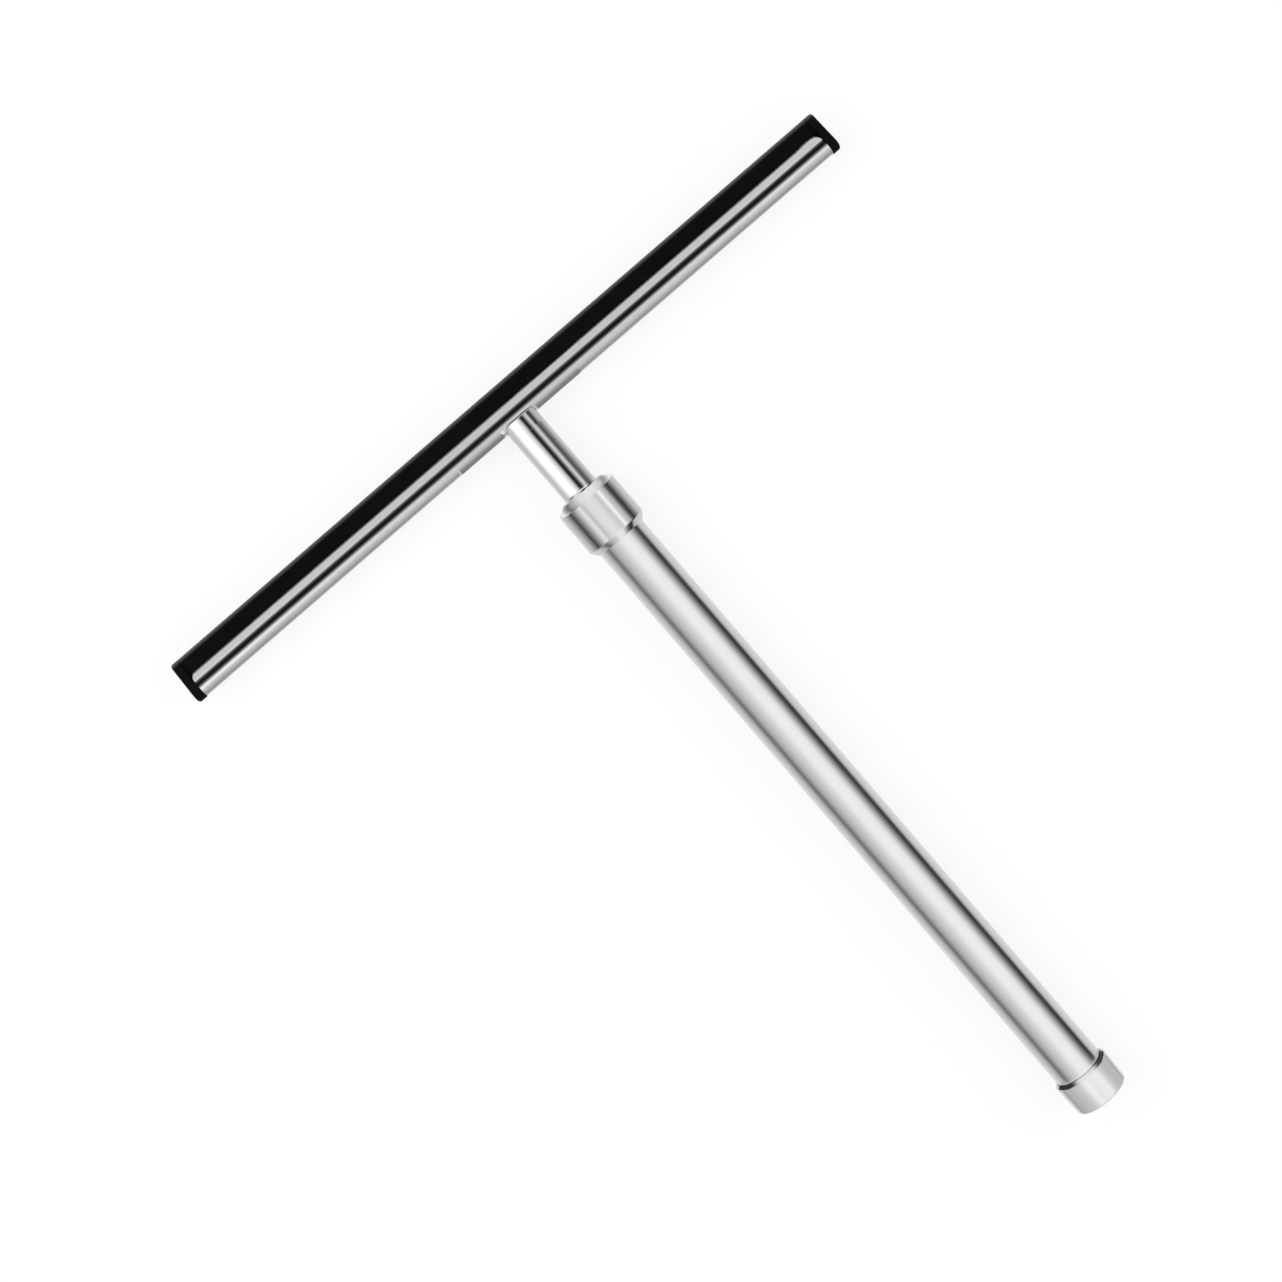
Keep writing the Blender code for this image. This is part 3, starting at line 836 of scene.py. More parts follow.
@dataclass
class BladeAssembly:
    """Folded channel, rubber strip and end caps.

    Attributes:
        bulb_radius: Radius of the channel's round back.
        sheet: Thickness of its sheet.
        bend: Radius of the bend between the back and the lips.
        mouth_half: Half of the depth over the lips.
        lip_round: Rounding of the lips' outer edge.
        lip_edge: Rounding of their inner edge.
        left_corner: Radius of the lips' corner at the left end, seen from above.
        right_corner: The same at the right end.
        right_flare: How far the right corner stands out towards the rubber.
        flare_run: Length of the blade over which it does so.
        play: Gap between seated pieces.
        web_half: Half of the rubber's thickness between the lips.
        web_round: Rounding where the rubber comes out of the lips.
        edge_half: Half of its thickness at its edge.
        edge_round: Rounding of its edge.
        end_run: Length of the closer stations at the rubber's ends.
        cap_gap: Gap between a cap and the channel's end.
        cap_ease: Rounding of a cap's inner edge.
        peg_ease: Rounding of its peg's end.
        cap_proud: How far a cap stands out beyond the channel.
        nose_proud: How far its nose stands out beyond the rubber.
        nose_half: Half of the cap's depth at the rubber's edge.
        nose_round: Radius of the cap's nose.
        crown: Rounding of the cap's outer face.
        left_slant: How much shorter the left cap is at its nose than at its back.
        right_slant: The same for the right cap.
        height: Height of the blade's middle above the floor.
    """

    bulb_radius: float = 2.95 * MM
    sheet: float = 0.7 * MM
    bend: float = 2.8 * MM
    mouth_half: float = 1.8 * MM
    lip_round: float = 0.5 * MM
    lip_edge: float = 0.15 * MM
    left_corner: float = 1.9 * MM
    right_corner: float = 2.6 * MM
    right_flare: float = 0.3 * MM
    flare_run: float = 5.0 * MM
    play: float = 0.3 * MM
    web_half: float = 0.8 * MM
    web_round: float = 2.0 * MM
    edge_half: float = 0.8 * MM
    edge_round: float = 0.72 * MM
    end_run: float = 0.25 * MM
    cap_gap: float = 0.02 * MM
    cap_ease: float = 0.25 * MM
    peg_ease: float = 0.4 * MM
    cap_proud: float = 0.2 * MM
    nose_proud: float = 0.03 * MM
    nose_half: float = 1.5 * MM
    nose_round: float = 1.3 * MM
    crown: float = 1.1 * MM
    left_slant: float = 0.65 * MM
    right_slant: float = 0.4 * MM
    height: float = field(default_factory=axis_height)

    def __post_init__(self) -> None:
        """Reads the channel's and rubber's places from the frame."""
        self.back, self.mouth = stations("blade_channel")
        self.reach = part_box("blade_channel")[1].x
        self.tip = stations("rubber_blade")[1]
        self.half_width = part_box("end_cap_right")[1].x
        self.bead_radius = self.bulb_radius - self.sheet - self.play
        self.bulb_centre = Vector((self.back + self.bulb_radius, 0.0))
        bend_depth = self.mouth_half + self.bend
        bend_reach = math.sqrt((self.bulb_radius + self.bend) ** 2 - bend_depth**2)
        self.bend_centre = self.bulb_centre + Vector((bend_reach, bend_depth))
        self.bend_angle = math.atan2(bend_depth, bend_reach)

    def build(self) -> None:
        """Builds and dresses every piece of the blade."""
        self.channel()
        self.rubber()
        for side in Side:
            self.end_cap(side)

    def across(self, outline: Sequence[Edge], x: float) -> Ring:
        """Places an outline across the blade.

        Args:
            outline: The outline, as (station, depth).
            x: Where it is placed along the blade.

        Returns:
            The ring.
        """
        return [
            (
                Vector((x, edge.place.x, self.height + edge.place.y)),
                Vector((0.0, edge.facing.x, edge.facing.y)),
            )
            for edge in outline
        ]

    def channel_outline(self, mouth: float) -> list[Edge]:
        """Section of the folded sheet, with its lips ending at a station.

        Args:
            mouth: Station of the lips' edge.

        Returns:
            The closed outline.
        """
        bend_foot = self.bend_centre.x
        lip = filleted([
            Corner(bend_foot, self.mouth_half - self.sheet),
            Corner(mouth, self.mouth_half - self.sheet, self.lip_edge),
            Corner(mouth, self.mouth_half, self.lip_round),
            Corner(bend_foot, self.mouth_half),
        ], closed=False)[1:-1]
        inside, down = self.bend_angle + math.pi, 1.5 * math.pi
        half = arc_edges(self.bulb_centre, self.bulb_radius, math.pi, self.bend_angle, BULB_STEPS)
        half[0] = on_middle(half[0])
        half += arc_edges(self.bend_centre, self.bend, inside, down, BEND_STEPS, hollow=True)[1:]
        half += reversed(lip)
        half += arc_edges(self.bend_centre, self.bend + self.sheet, down, inside, BEND_STEPS)
        half += arc_edges(
            self.bulb_centre, self.bulb_radius - self.sheet, self.bend_angle, math.pi, BULB_STEPS,
            hollow=True,
        )[1:]
        half[-1] = on_middle(half[-1])
        return mirrored(half)

    def mouth_at(self, x: float) -> float:
        """Where the lips end, with the rounded corners and the right one's flare.

        Args:
            x: Place along the blade.

        Returns:
            Station of the lips' edge there.
        """
        is_right = x > 0.0
        corner = self.right_corner if is_right else self.left_corner
        from_end = self.reach - abs(x)
        mouth = self.mouth
        if is_right:
            rise = max(0.0, 1.0 - abs(from_end - corner - self.flare_run / 2) / self.flare_run)
            mouth += self.right_flare * rise * rise * (3.0 - 2.0 * rise)
        if from_end < corner:
            mouth -= corner - math.sqrt(max(0.0, corner**2 - (corner - from_end) ** 2))
        return mouth

    def channel(self) -> None:
        """The channel, with close stations where its lips' corners are rounded."""
        run = self.right_corner + 1.5 * self.flare_run
        near = [self.reach - run * (1.0 - math.cos(angle)) for angle in quarter_turn(24)]
        half = [*near, *(self.reach * share for share in (0.75, 0.5, 0.25, 0.05))]
        places = [-x for x in half] + list(reversed(half))
        rings = [self.across(self.channel_outline(self.mouth_at(x)), x) for x in places]
        dress(skinned("folded_channel", rings), Slot.POLISHED_STEEL, Body.HEAD, ["blade_channel"])

    def rubber(self) -> None:
        """The rubber strip, with a bead in the bulb and a softened edge."""
        start = math.asin(self.web_half / self.bead_radius)
        half = arc_edges(self.bulb_centre, self.bead_radius, math.pi, start, BULB_STEPS)
        half[0] = on_middle(half[0])
        web = filleted([
            Corner(self.tip, 0.0),
            Corner(self.tip, self.edge_half, self.edge_round),
            Corner(self.mouth, self.web_half, self.web_round),
            Corner(self.bulb_centre.x, self.web_half),
        ], closed=False)
        outline = mirrored(half + web[-2:0:-1])
        near = [self.reach - self.end_run * (1.0 - math.cos(angle)) for angle in quarter_turn(4)]
        middle = (-self.reach / 2, 0.0, self.reach / 2)
        rings = [self.across(outline, x) for x in (*(-x for x in near), *middle, *reversed(near))]
        dress(skinned("rubber_strip", rings), Slot.BLACK_RUBBER, Body.HEAD, ["rubber_blade"])

    def cap_outline(self, inset: float) -> list[Edge]:
        """End cap seen along the blade: a round back that tapers to a narrow nose.

        Args:
            inset: How far the outline lies inside the cap's own.

        Returns:
            The closed outline.
        """
        back_radius = self.bulb_radius + self.cap_proud - inset
        nose_radius = self.nose_round - inset
        nose = Vector((
            self.tip + self.nose_proud - self.nose_round, self.nose_half - self.nose_round,
        ))
        between = nose - self.bulb_centre
        lean = math.acos((back_radius - nose_radius) / between.length)
        angle = math.atan2(between.y, between.x) + lean
        half = arc_edges(self.bulb_centre, back_radius, math.pi, angle, BULB_STEPS)
        half[0] = on_middle(half[0])
        half += arc_edges(nose, nose_radius, angle, 0.0, BEND_STEPS)
        return mirrored(half)

    def end_cap(self, side: Side) -> None:
        """A cap with a crowned outer face, an eased inner edge and a peg in the bulb.

        Args:
            side: End of the blade that it closes.
        """
        name = side.name.lower()
        inner_face = self.reach + self.cap_gap
        peg_end = min(abs(corner.x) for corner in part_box(f"end_cap_{name}"))
        inward = Vector((-side.value, 0.0, 0.0))
        rings = []
        for angle in quarter_turn(3):
            x = peg_end + self.peg_ease * (1.0 - math.cos(angle))
            radius = self.bead_radius - self.peg_ease * (1.0 - math.sin(angle))
            facing = Vector((-side.value * math.cos(angle), math.sin(angle)))
            rings.append(self.peg_ring(side, x, radius, facing))
        for x, facing in (
            (inner_face - self.cap_gap / 2, Vector((0.0, 1.0))),
            (inner_face, Vector((-side.value, 0.0))),
        ):
            rings.append(self.peg_ring(side, x, self.bead_radius, facing))
        for angle in quarter_turn(4):
            ring = self.across(
                self.cap_outline(self.cap_ease * (1.0 - math.sin(angle))),
                side.value * (inner_face + self.cap_ease * (1.0 - math.cos(angle))),
            )
            rings.append([
                (point, normal * math.sin(angle) + inward * math.cos(angle))
                for point, normal in ring
            ])
        slant = self.right_slant if side is Side.RIGHT else self.left_slant
        slope = slant / (self.tip - self.back)
        outward = Vector((side.value, slope, 0.0))
        for angle in quarter_turn(12):
            ring = self.across(
                self.cap_outline(self.crown * (1.0 - math.cos(angle))),
                side.value * (self.half_width - self.crown * (1.0 - math.sin(angle))),
            )
            rings.append([
                (
                    point + inward * slope * (point.y - self.back),
                    normal * math.cos(angle) + outward * math.sin(angle),
                )
                for point, normal in ring
            ])
        cap = skinned(f"moulded_cap_{name}", rings)
        dress(cap, Slot.BLACK_PLASTIC, Body.HEAD, [f"end_cap_{name}"])

    def peg_ring(self, side: Side, x: float, radius: float, facing: Vector) -> Ring:
        """A ring round the peg with as many points as the cap's outline.

        Args:
            side: End of the blade.
            x: Distance from the blade's middle.
            radius: Radius of the ring.
            facing: Facing as (along X, away from the peg's axis).

        Returns:
            The ring.
        """
        ring = []
        for edge in self.cap_outline(0.0):
            ray = (edge.place - self.bulb_centre).normalized()
            point = self.bulb_centre + ray * radius
            normal = Vector((facing.x, ray.x * facing.y, ray.y * facing.y))
            ring.append((Vector((side.value * x, point.x, self.height + point.y)), normal))
        return ring


@dataclass
class Neck:
    """Polished tube that slides in the handle, and the plug in its coped end.

    Attributes:
        wall: Thickness of the tube's wall.
        bulb_radius: Radius of the channel's back, which the end is coped to.
        play: Gap between the plug and the tube.
        foot: Straight length over the lower end of tube and plug.
        shank: How far below the channel's back the tube's plain length ends.
        sunk: How far below the cope the tube's wall follows its curve.
        joint: Gap round the channel, which the weld closes.
        end_round: Rounding of the tube's upper end.
        drop: How far below its place in the frame the end's edge is.
        weld: Radius of the weld bead at the tube's flanks.
        weld_least: Its radius where it dies out.
        weld_inset: How far inside the tube's surface its middle line runs.
    """

    wall: float = 0.8 * MM
    bulb_radius: float = 2.95 * MM
    play: float = 0.3 * MM
    foot: float = 4.0 * MM
    shank: float = 6.0 * MM
    sunk: float = 1.2 * MM
    joint: float = 0.02 * MM
    end_round: float = 0.08 * MM
    drop: float = 0.7 * MM
    weld: float = 0.1 * MM
    weld_least: float = 0.03 * MM
    weld_inset: float = 0.1 * MM

    def __post_init__(self) -> None:
        """Reads the tube's place from the frame."""
        low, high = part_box("inner_tube")
        self.low, self.high = low.y, high.y
        self.radius = (high.x - low.x) / 2
        self.height = (low.z + high.z) / 2
        self.back = stations("blade_channel")[0]
        self.plug_low = stations("neck_plug")[0]

    def build(self) -> None:
        """Builds and dresses the tube, its plug and the weld."""
        self.tube()
        self.plug()
        self.weld_bead()

    def cope(self, depth: float) -> float:
        """Station of the end: square over the channel's back, with a saddle for it.

        Args:
            depth: Height above the axis.

        Returns:
            The station.
        """
        saddle = self.bulb_radius + self.joint
        centre = self.back + self.bulb_radius
        edge = self.high - self.drop
        if abs(depth) >= saddle:
            return edge
        return min(edge, centre - math.sqrt(saddle**2 - depth**2))

    def coped_ring(self, edge: Edge) -> Ring:
        """A ring whose stations are measured from the cope.

        Args:
            edge: Radius, distance above the cope (negative below it), and facing.

        Returns:
            The ring.
        """
        ring = []
        for angle in full_turn(TURNED_STEPS):
            across = edge.place.x * math.cos(angle)
            depth = edge.place.x * math.sin(angle)
            point = Vector((across, self.cope(depth) + edge.place.y, self.height + depth))
            ring.append((point, turned(edge.facing, angle)))
        return ring

    def tube(self) -> None:
        """The tube, its lower edge eased and its upper end coped over the channel's back."""
        lathe = Lathe(self.height)
        bore = self.radius - self.wall
        lower = filleted([
            Corner(bore, self.low + self.foot),
            Corner(bore, self.low, 0.2 * MM),
            Corner(self.radius, self.low, 0.3 * MM),
            Corner(self.radius, self.low + self.foot),
        ], closed=False)
        lower.append(Edge(Vector((self.radius, self.back - self.shank)), Vector((1.0, 0.0))))
        upper = filleted([
            Corner(self.radius, -self.sunk),
            Corner(self.radius, 0.0, self.end_round),
            Corner(bore, 0.0, 0.05 * MM),
            Corner(bore, -self.sunk),
        ], closed=False)
        rings = [*map(lathe.ring, lower), *map(self.coped_ring, upper)]
        tube = skinned("neck_tube", rings, wrap=True)
        dress(tube, Slot.POLISHED_STEEL, Body.HEAD, ["inner_tube"])

    def plug(self) -> None:
        """The solid plug that the channel is welded to."""
        lathe = Lathe(self.height)
        radius = self.radius - self.wall - self.play
        lower = filleted([
            Corner(0.0, self.plug_low),
            Corner(radius, self.plug_low, 0.8 * MM),
            Corner(radius, self.plug_low + self.foot),
        ], closed=False)
        upper = filleted([
            Corner(radius, -1.0 * MM),
            Corner(radius, 0.0, 0.4 * MM),
            Corner(radius * 0.5, 0.0),
        ], closed=False)
        for share in (0.35, 0.2, 0.08):
            upper.append(Edge(Vector((radius * share, 0.0)), Vector((0.0, 1.0))))
        rings = [*map(lathe.ring, lower), *map(self.coped_ring, upper)]
        middle = Vector((0.0, self.cope(0.0), self.height))
        rings.append([(middle, Vector((0.0, 1.0, 0.0)))])
        dress(skinned("coped_plug", rings), Slot.PLAIN_STEEL, Body.HEAD, ["neck_plug"])

    def weld_bead(self) -> None:
        """The small bead where the tube's end meets the channel, thickest at the flanks."""
        path_radius = self.radius - self.weld_inset
        path = []
        for angle in full_turn(TURNED_STEPS):
            across, depth = path_radius * math.cos(angle), path_radius * math.sin(angle)
            flank = max(0.0, 1.0 - (depth / (self.bulb_radius + self.joint)) ** 2)
            bead = self.weld_least + (self.weld - self.weld_least) * flank
            station = self.cope(depth) - bead * 0.5
            path.append((Vector((across, station, self.height + depth)), bead))
        rings = []
        for index, (centre, bead) in enumerate(path):
            along = (path[(index + 1) % len(path)][0] - path[index - 1][0]).normalized()
            out = Vector((centre.x, 0.0, centre.z - self.height))
            out = (out - along * out.dot(along)).normalized()
            side = along.cross(out)
            rays = [out * math.cos(angle) + side * math.sin(angle) for angle in full_turn(16)]
            rings.append([(centre + ray * bead, ray) for ray in rays])
        dress(skinned("neck_weld", rings, wrap=True), Slot.POLISHED_STEEL, Body.HEAD)


@dataclass
class Handle:
    """Outer tube with its bush, collar, cup and plug.

    Attributes:
        tube_wall: Wall of the handle's tube.
        collar_slope: How far below the collar's place in the frame the shoulder's outer edge is.
        collar_sunk: How far below its place in the frame the shoulder ends at the neck.
        collar_round: Rounding of the shoulder.
        collar_chamfer: Length of the collar's lower chamfer.
        collar_foot: Thickness of the wall at the collar's lower end.
        collar_floor: Thickness of the collar's end.
        cup_bevel: How far the bevel round the cup's rim comes in.
        cup_bevel_length: Length of that bevel.
        cup_rise: How far the cup's rim stands above its place in the frame.
        cup_swell: How much wider than in the frame the cup is.
        cup_play: Gap round the tube at the cup's rim.
        cup_floor: Thickness of the cup's end.
        cup_corner: Rounding of the cup's end.
        cup_taper: How much narrower the cup is at its end.
        play: Gap between seated pieces.
    """

    tube_wall: float = 0.8 * MM
    collar_slope: float = 1.4 * MM
    collar_sunk: float = 1.0 * MM
    collar_round: float = 3.9 * MM
    collar_chamfer: float = 2.2 * MM
    collar_foot: float = 0.45 * MM
    collar_floor: float = 3.2 * MM
    cup_bevel: float = 0.95 * MM
    cup_bevel_length: float = 0.8 * MM
    cup_rise: float = 0.4 * MM
    cup_swell: float = 0.25 * MM
    cup_play: float = 0.1 * MM
    cup_floor: float = 0.8 * MM
    cup_corner: float = 1.1 * MM
    cup_taper: float = 0.3 * MM
    play: float = 0.3 * MM

    def __post_init__(self) -> None:
        """Reads the pieces' places from the frame."""
        self.height = axis_height()
        self.neck_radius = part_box("inner_tube")[1].x
        self.tube_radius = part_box("handle_tube")[1].x
        self.collar_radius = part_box("collar")[1].x
        self.cup_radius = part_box("handle_cup")[1].x

    def build(self) -> None:
        """Builds and dresses every piece of the handle."""
        self.tube()
        self.bush()
        self.collar()
        self.cup()
        refinish("cup_plug", Slot.BLACK_PLASTIC)

    def tube(self) -> None:
        """The satin tube, square at both ends with eased edges."""
        low, high = stations("handle_tube")
        bore = self.tube_radius - self.tube_wall
        ease = 0.2 * MM
        self.piece("satin_tube", Slot.SATIN_STEEL, "handle_tube", filleted([
            Corner(bore, low, ease),
            Corner(self.tube_radius, low, ease),
            Corner(self.tube_radius, high, ease),
            Corner(bore, high, ease),
        ]))

    def bush(self) -> None:
        """The nylon bush in the tube's mouth, with its flange under the collar."""
        low, high = stations("guide_bush")
        bore = self.neck_radius + self.play
        outer = self.tube_radius - self.tube_wall - self.play
        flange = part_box("guide_bush")[1].x
        flange_foot = stations("handle_tube")[1] + self.play
        ease = 0.3 * MM
        self.piece("nylon_bush", Slot.WHITE_NYLON, "guide_bush", filleted([
            Corner(bore, low, ease),
            Corner(outer, low, ease),
            Corner(outer, flange_foot, 0.1 * MM),
            Corner(flange, flange_foot, 0.2 * MM),
            Corner(flange, high, ease),
            Corner(bore, high, ease),
        ]))

    def collar(self) -> None:
        """The polished collar with a rounded shoulder and a chamfered foot."""
        low, high = stations("collar")
        bore = self.tube_radius + self.play
        hole = self.neck_radius + self.play
        floor = high - self.collar_floor
        ease, fine = 0.2 * MM, 0.1 * MM
        self.piece("polished_collar", Slot.POLISHED_STEEL, "collar", filleted([
            Corner(bore, floor, ease),
            Corner(bore, low, fine),
            Corner(bore + self.collar_foot, low, fine),
            Corner(self.collar_radius, low + self.collar_chamfer, 0.8 * MM),
            Corner(self.collar_radius, high - self.collar_slope, self.collar_round),
            Corner(hole + 0.4 * MM, high - self.collar_sunk, 0.3 * MM),
            Corner(hole, high - self.collar_sunk, fine),
            Corner(hole, floor, ease),
        ]))

    def cup(self) -> None:
        """The satin cup on the handle's far end."""
        low, high = stations("handle_cup")
        high += self.cup_rise
        rim = self.cup_radius + self.cup_swell
        bore = self.tube_radius + self.cup_play
        crisp = 0.03 * MM
        self.piece("satin_cup", Slot.SATIN_STEEL, "handle_cup", filleted([
            Corner(0.0, low),
            Corner(rim - self.cup_taper, low, self.cup_corner),
            Corner(rim, high - self.cup_bevel_length, 0.8 * MM),
            Corner(rim - self.cup_bevel, high, crisp),
            Corner(bore, high, crisp),
            Corner(bore, low + self.cup_floor, self.play),
            Corner(0.0, low + self.cup_floor),
        ], closed=False))

    def piece(self, name: str, slot: Slot, node: str, edges: Sequence[Edge]) -> None:
        """Turns and dresses a piece.

        Args:
            name: Name of the piece.
            slot: Its material slot.
            node: CAD node that it stands for.
            edges: Its outline, as (radius, station).
        """
        dress(Lathe(self.height).turn(name, edges), slot, Body.HANDLE, [node])


@dataclass
class TwistLock:
    """The lock in the handle: plug, pin, threaded stud, clip, sleeve, ring and cone.

    Attributes:
        pitch: Distance between neighbouring crests of the stud's thread.
        starts: Number of its starts.
        thread_depth: Depth of the thread.
        thread_clear: Plain length at each end of the thread.
        groove: Depth of the clip's groove.
        ease: Bevel at the stud's ends.
        play: Gap between the clip and its groove's walls.
        turn_steps: Steps round the stud.
        ring_steps: Rings for each pitch.
    """

    pitch: float = 1.0 * MM
    starts: int = 2
    thread_depth: float = 0.5 * MM
    thread_clear: float = 1.0 * MM
    groove: float = 0.6 * MM
    ease: float = 0.5 * MM
    play: float = 0.3 * MM
    turn_steps: int = 48
    ring_steps: int = 6

    def build(self) -> None:
        """Builds the stud and finishes the pieces that the frame gives."""
        self.stud()
        for node, slot in (
            ("lock_plug", Slot.WHITE_NYLON), ("plug_pin", Slot.PLAIN_STEEL),
            ("stud_clip", Slot.PLAIN_STEEL), ("expander_sleeve", Slot.WHITE_NYLON),
            ("drag_ring", Slot.BLACK_RUBBER), ("expander_cone", Slot.PLAIN_STEEL),
        ):
            refinish(node, slot)

    def stud(self) -> None:
        """The stud, with its thread above the clip's groove."""
        lathe = Lathe(axis_height())
        low, high = stations("lock_stud")
        clip_low, clip_high = stations("stud_clip")
        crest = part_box("lock_stud")[1].x
        floor = crest - self.groove
        start = clip_high + self.play + self.thread_clear
        end = high - self.thread_clear - self.ease
        lower = filleted([
            Corner(0.0, low),
            Corner(crest - self.ease, low),
            Corner(crest, low + self.ease),
            Corner(crest, clip_low - self.play),
            Corner(floor, clip_low - self.play),
            Corner(floor, clip_high + self.play),
            Corner(crest, clip_high + self.play),
            Corner(crest, start),
        ], closed=False)
        upper = filleted([
            Corner(crest, end),
            Corner(crest, high - self.ease),
            Corner(crest - self.ease, high),
            Corner(0.0, high),
        ], closed=False)
        rings = [lathe.ring(edge, self.turn_steps) for edge in lower]
        count = round((end - start) / self.pitch) * self.ring_steps
        for step in range(1, count):
            station = start + (end - start) * step / count
            share = min(1.0, (station - start) / self.pitch, (end - station) / self.pitch)
            rings.append(self.threaded_ring(lathe, crest, station, share))
        rings += [lathe.ring(edge, self.turn_steps) for edge in upper]
        dress(skinned("threaded_stud", rings), Slot.PLAIN_STEEL, Body.HEAD, ["lock_stud"])

    def threaded_ring(self, lathe: Lathe, crest: float, station: float, share: float) -> Ring:
        """A ring across the right-hand thread.

        Args:
            lathe: The stud's axis.
            crest: Radius of the thread's crests.
            station: Where the ring lies.
            share: How much of the thread's full depth is cut there.

        Returns:
            The ring.
        """
        half = self.thread_depth * share / 2.0
        ring = []
        for angle in full_turn(self.turn_steps):
            phase = math.tau * station / self.pitch + self.starts * angle
            radius = crest - half * (1.0 - math.cos(phase))
            slope = -half * math.sin(phase)
            twist = -slope * self.starts / radius
            normal = Vector((
                math.cos(angle) - twist * math.sin(angle),
                -slope * math.tau / self.pitch,
                math.sin(angle) + twist * math.cos(angle),
            ))
            ring.append((lathe.point(radius, station, angle), normal))
        return ring


# The studio


@dataclass(frozen=True)
class Stop:
    """A level of light at one place of a reflector.

    Attributes:
        at: The place. Round the handle it is the direction of the reflected light, in degrees from
            straight up towards +X. On a flat reflector it is a distance in millimetres.
        level: Emission that is seen there.
    """

    at: float
    level: float


def strip(
    name: str, rows: Sequence[Sequence[Point]], material: bpy.types.Material
) -> bpy.types.Object:
    """Makes a strip of quads.

    Args:
        name: Name of the object.
        rows: Pairs of points, each joined to the next pair.
        material: Its material.

    Returns:
        The new object, linked to the scene.
    """
    quads = [(at, at + 1, at + 3, at + 2) for at in range(0, 2 * len(rows) - 2, 2)]
    mesh = bpy.data.meshes.new(name)
    mesh.from_pydata([point for row in rows for point in row], [], quads)
    mesh.materials.append(material)
    obj = bpy.data.objects.new(name, mesh)
    bpy.context.scene.collection.objects.link(obj)
    return obj


@dataclass(frozen=True)
class Reflector:
    """A reflector round the handle, seen only in reflections.

    Attributes:
        name: Name of the object.
        stops: Light round it, from the left to the right.
    """

    name: str
    stops: tuple[Stop, ...]

    reach = math.radians(112.0)
    steps = 64
    is_one_sided = False

    def edges(self) -> tuple[Rim, Rim]:
        """Radius and station of the reflector's two edges."""
        raise NotImplementedError

    def struck(self, direction: float) -> float:
        """Angle round the axis, in radians, that a stop's direction stands for."""
        return math.radians(direction)

    def build(self, height: float) -> None:
        """Builds the reflector, none of it under the floor.

        Args:
            height: Height of the handle's axis above the floor.
        """
        rows = []
        for step in range(self.steps + 1):
            angle = self.reach * (2.0 * step / self.steps - 1.0)
            rows.append([
                (radius * math.sin(angle), station, max(height + radius * math.cos(angle), MM))
                for radius, station in self.edges()
            ])
        reflection_only(strip(self.name, rows, self.light(height)))

    def light(self, height: float) -> bpy.types.Material:
        """Emission that follows the stops round the axis. A one-sided card is clear from behind.

        Args:
            height: Height of the handle's axis above the floor.

        Returns:
            The material.
        """
        material, wiring = new_material(self.name)
        axes = wiring.axes()
        angle = wiring.math("ARCTAN2", axes["X"], wiring.math("SUBTRACT", axes["Z"], height))
        stops = [(self.struck(stop.at), stop.level / BRIGHTEST) for stop in self.stops]
        shader = wiring.glow(wiring.ramp(angle, -self.reach, self.reach, stops), BRIGHTEST)
        if self.is_one_sided:
            behind = wiring.add("ShaderNodeNewGeometry").outputs["Backfacing"]
            shader = wiring.mixed(behind, shader, wiring.add("ShaderNodeBsdfTransparent"))
        wiring.surface(shader)
        return material


@dataclass(frozen=True)
class Hood(Reflector):
    """A half-round reflector over a stretch of the handle.

    Attributes:
        near: Station where it ends towards the blade.
        far: Station where it ends towards the cup.
        core: Radius of the turned metal inside it.
        radius: Distance from the handle's axis.
    """

    near: float
    far: float
    core: float
    radius: float

    def edges(self) -> tuple[Rim, Rim]:
        """Both edges at one radius."""
        return (self.radius, self.near), (self.radius, self.far)

    def struck(self, direction: float) -> float:
        """Angle round the axis at which light reflected from the metal strikes the hood."""
        facing = math.radians(direction) / 2.0
        return 2.0 * facing - math.asin(self.core / self.radius * math.sin(facing))


@dataclass(frozen=True)
class RingCard(Reflector):
    """A ring-shaped reflector square to the handle, lit on the side towards the cup.

    Attributes:
        station: Where it stands.
        inner: Its inner radius.
        outer: Its outer radius.
    """

    station: float
    inner: float
    outer: float

    reach = math.radians(115.0)
    is_one_sided = True

    def edges(self) -> tuple[Rim, Rim]:
        """Both edges at one station, in the order that faces the quads towards the cup."""
        return (self.outer, self.station), (self.inner, self.station)


@dataclass(frozen=True)
class Sky:
    """A level reflector over the blade, brighter beside its middle line and towards its ends.

    Attributes:
        low: Its edge towards the handle, from the channel's back.
        high: Its far edge, from the channel's back.
        reach: Half of its length along the blade.
        rise: Height above the handle's axis.
        base: Least light.
        swell: Light added across it, at distances from the channel's back.
        ends: Share of that light along it, at distances from the blade's middle.
    """

    low: float
    high: float
    reach: float
    rise: float
    base: float
    swell: tuple[Stop, ...]
    ends: tuple[Stop, ...]

    def build(self, axis: float, back: float) -> None:
        """Builds the reflector.

        Args:
            axis: Height of the handle's axis above the floor.
            back: Station of the channel's back.
        """
        top = axis + self.rise
        low, high = back + self.low, back + self.high
        material, wiring = new_material("sky")
        axes = wiring.axes()
        swell = wiring.ramp(
            axes["Y"], low, high, [(back + stop.at * MM, stop.level) for stop in self.swell]
        )
        ends = wiring.ramp(
            axes["X"], -self.reach, self.reach, [(stop.at * MM, stop.level) for stop in self.ends]
        )
        added = wiring.math("MULTIPLY", swell, ends)
        wiring.surface(wiring.glow(WHITE, wiring.math("ADD", added, self.base)))
        rows = [[(-self.reach, y, top), (self.reach, y, top)] for y in (low, high)]
        reflection_only(strip("sky", rows, material))


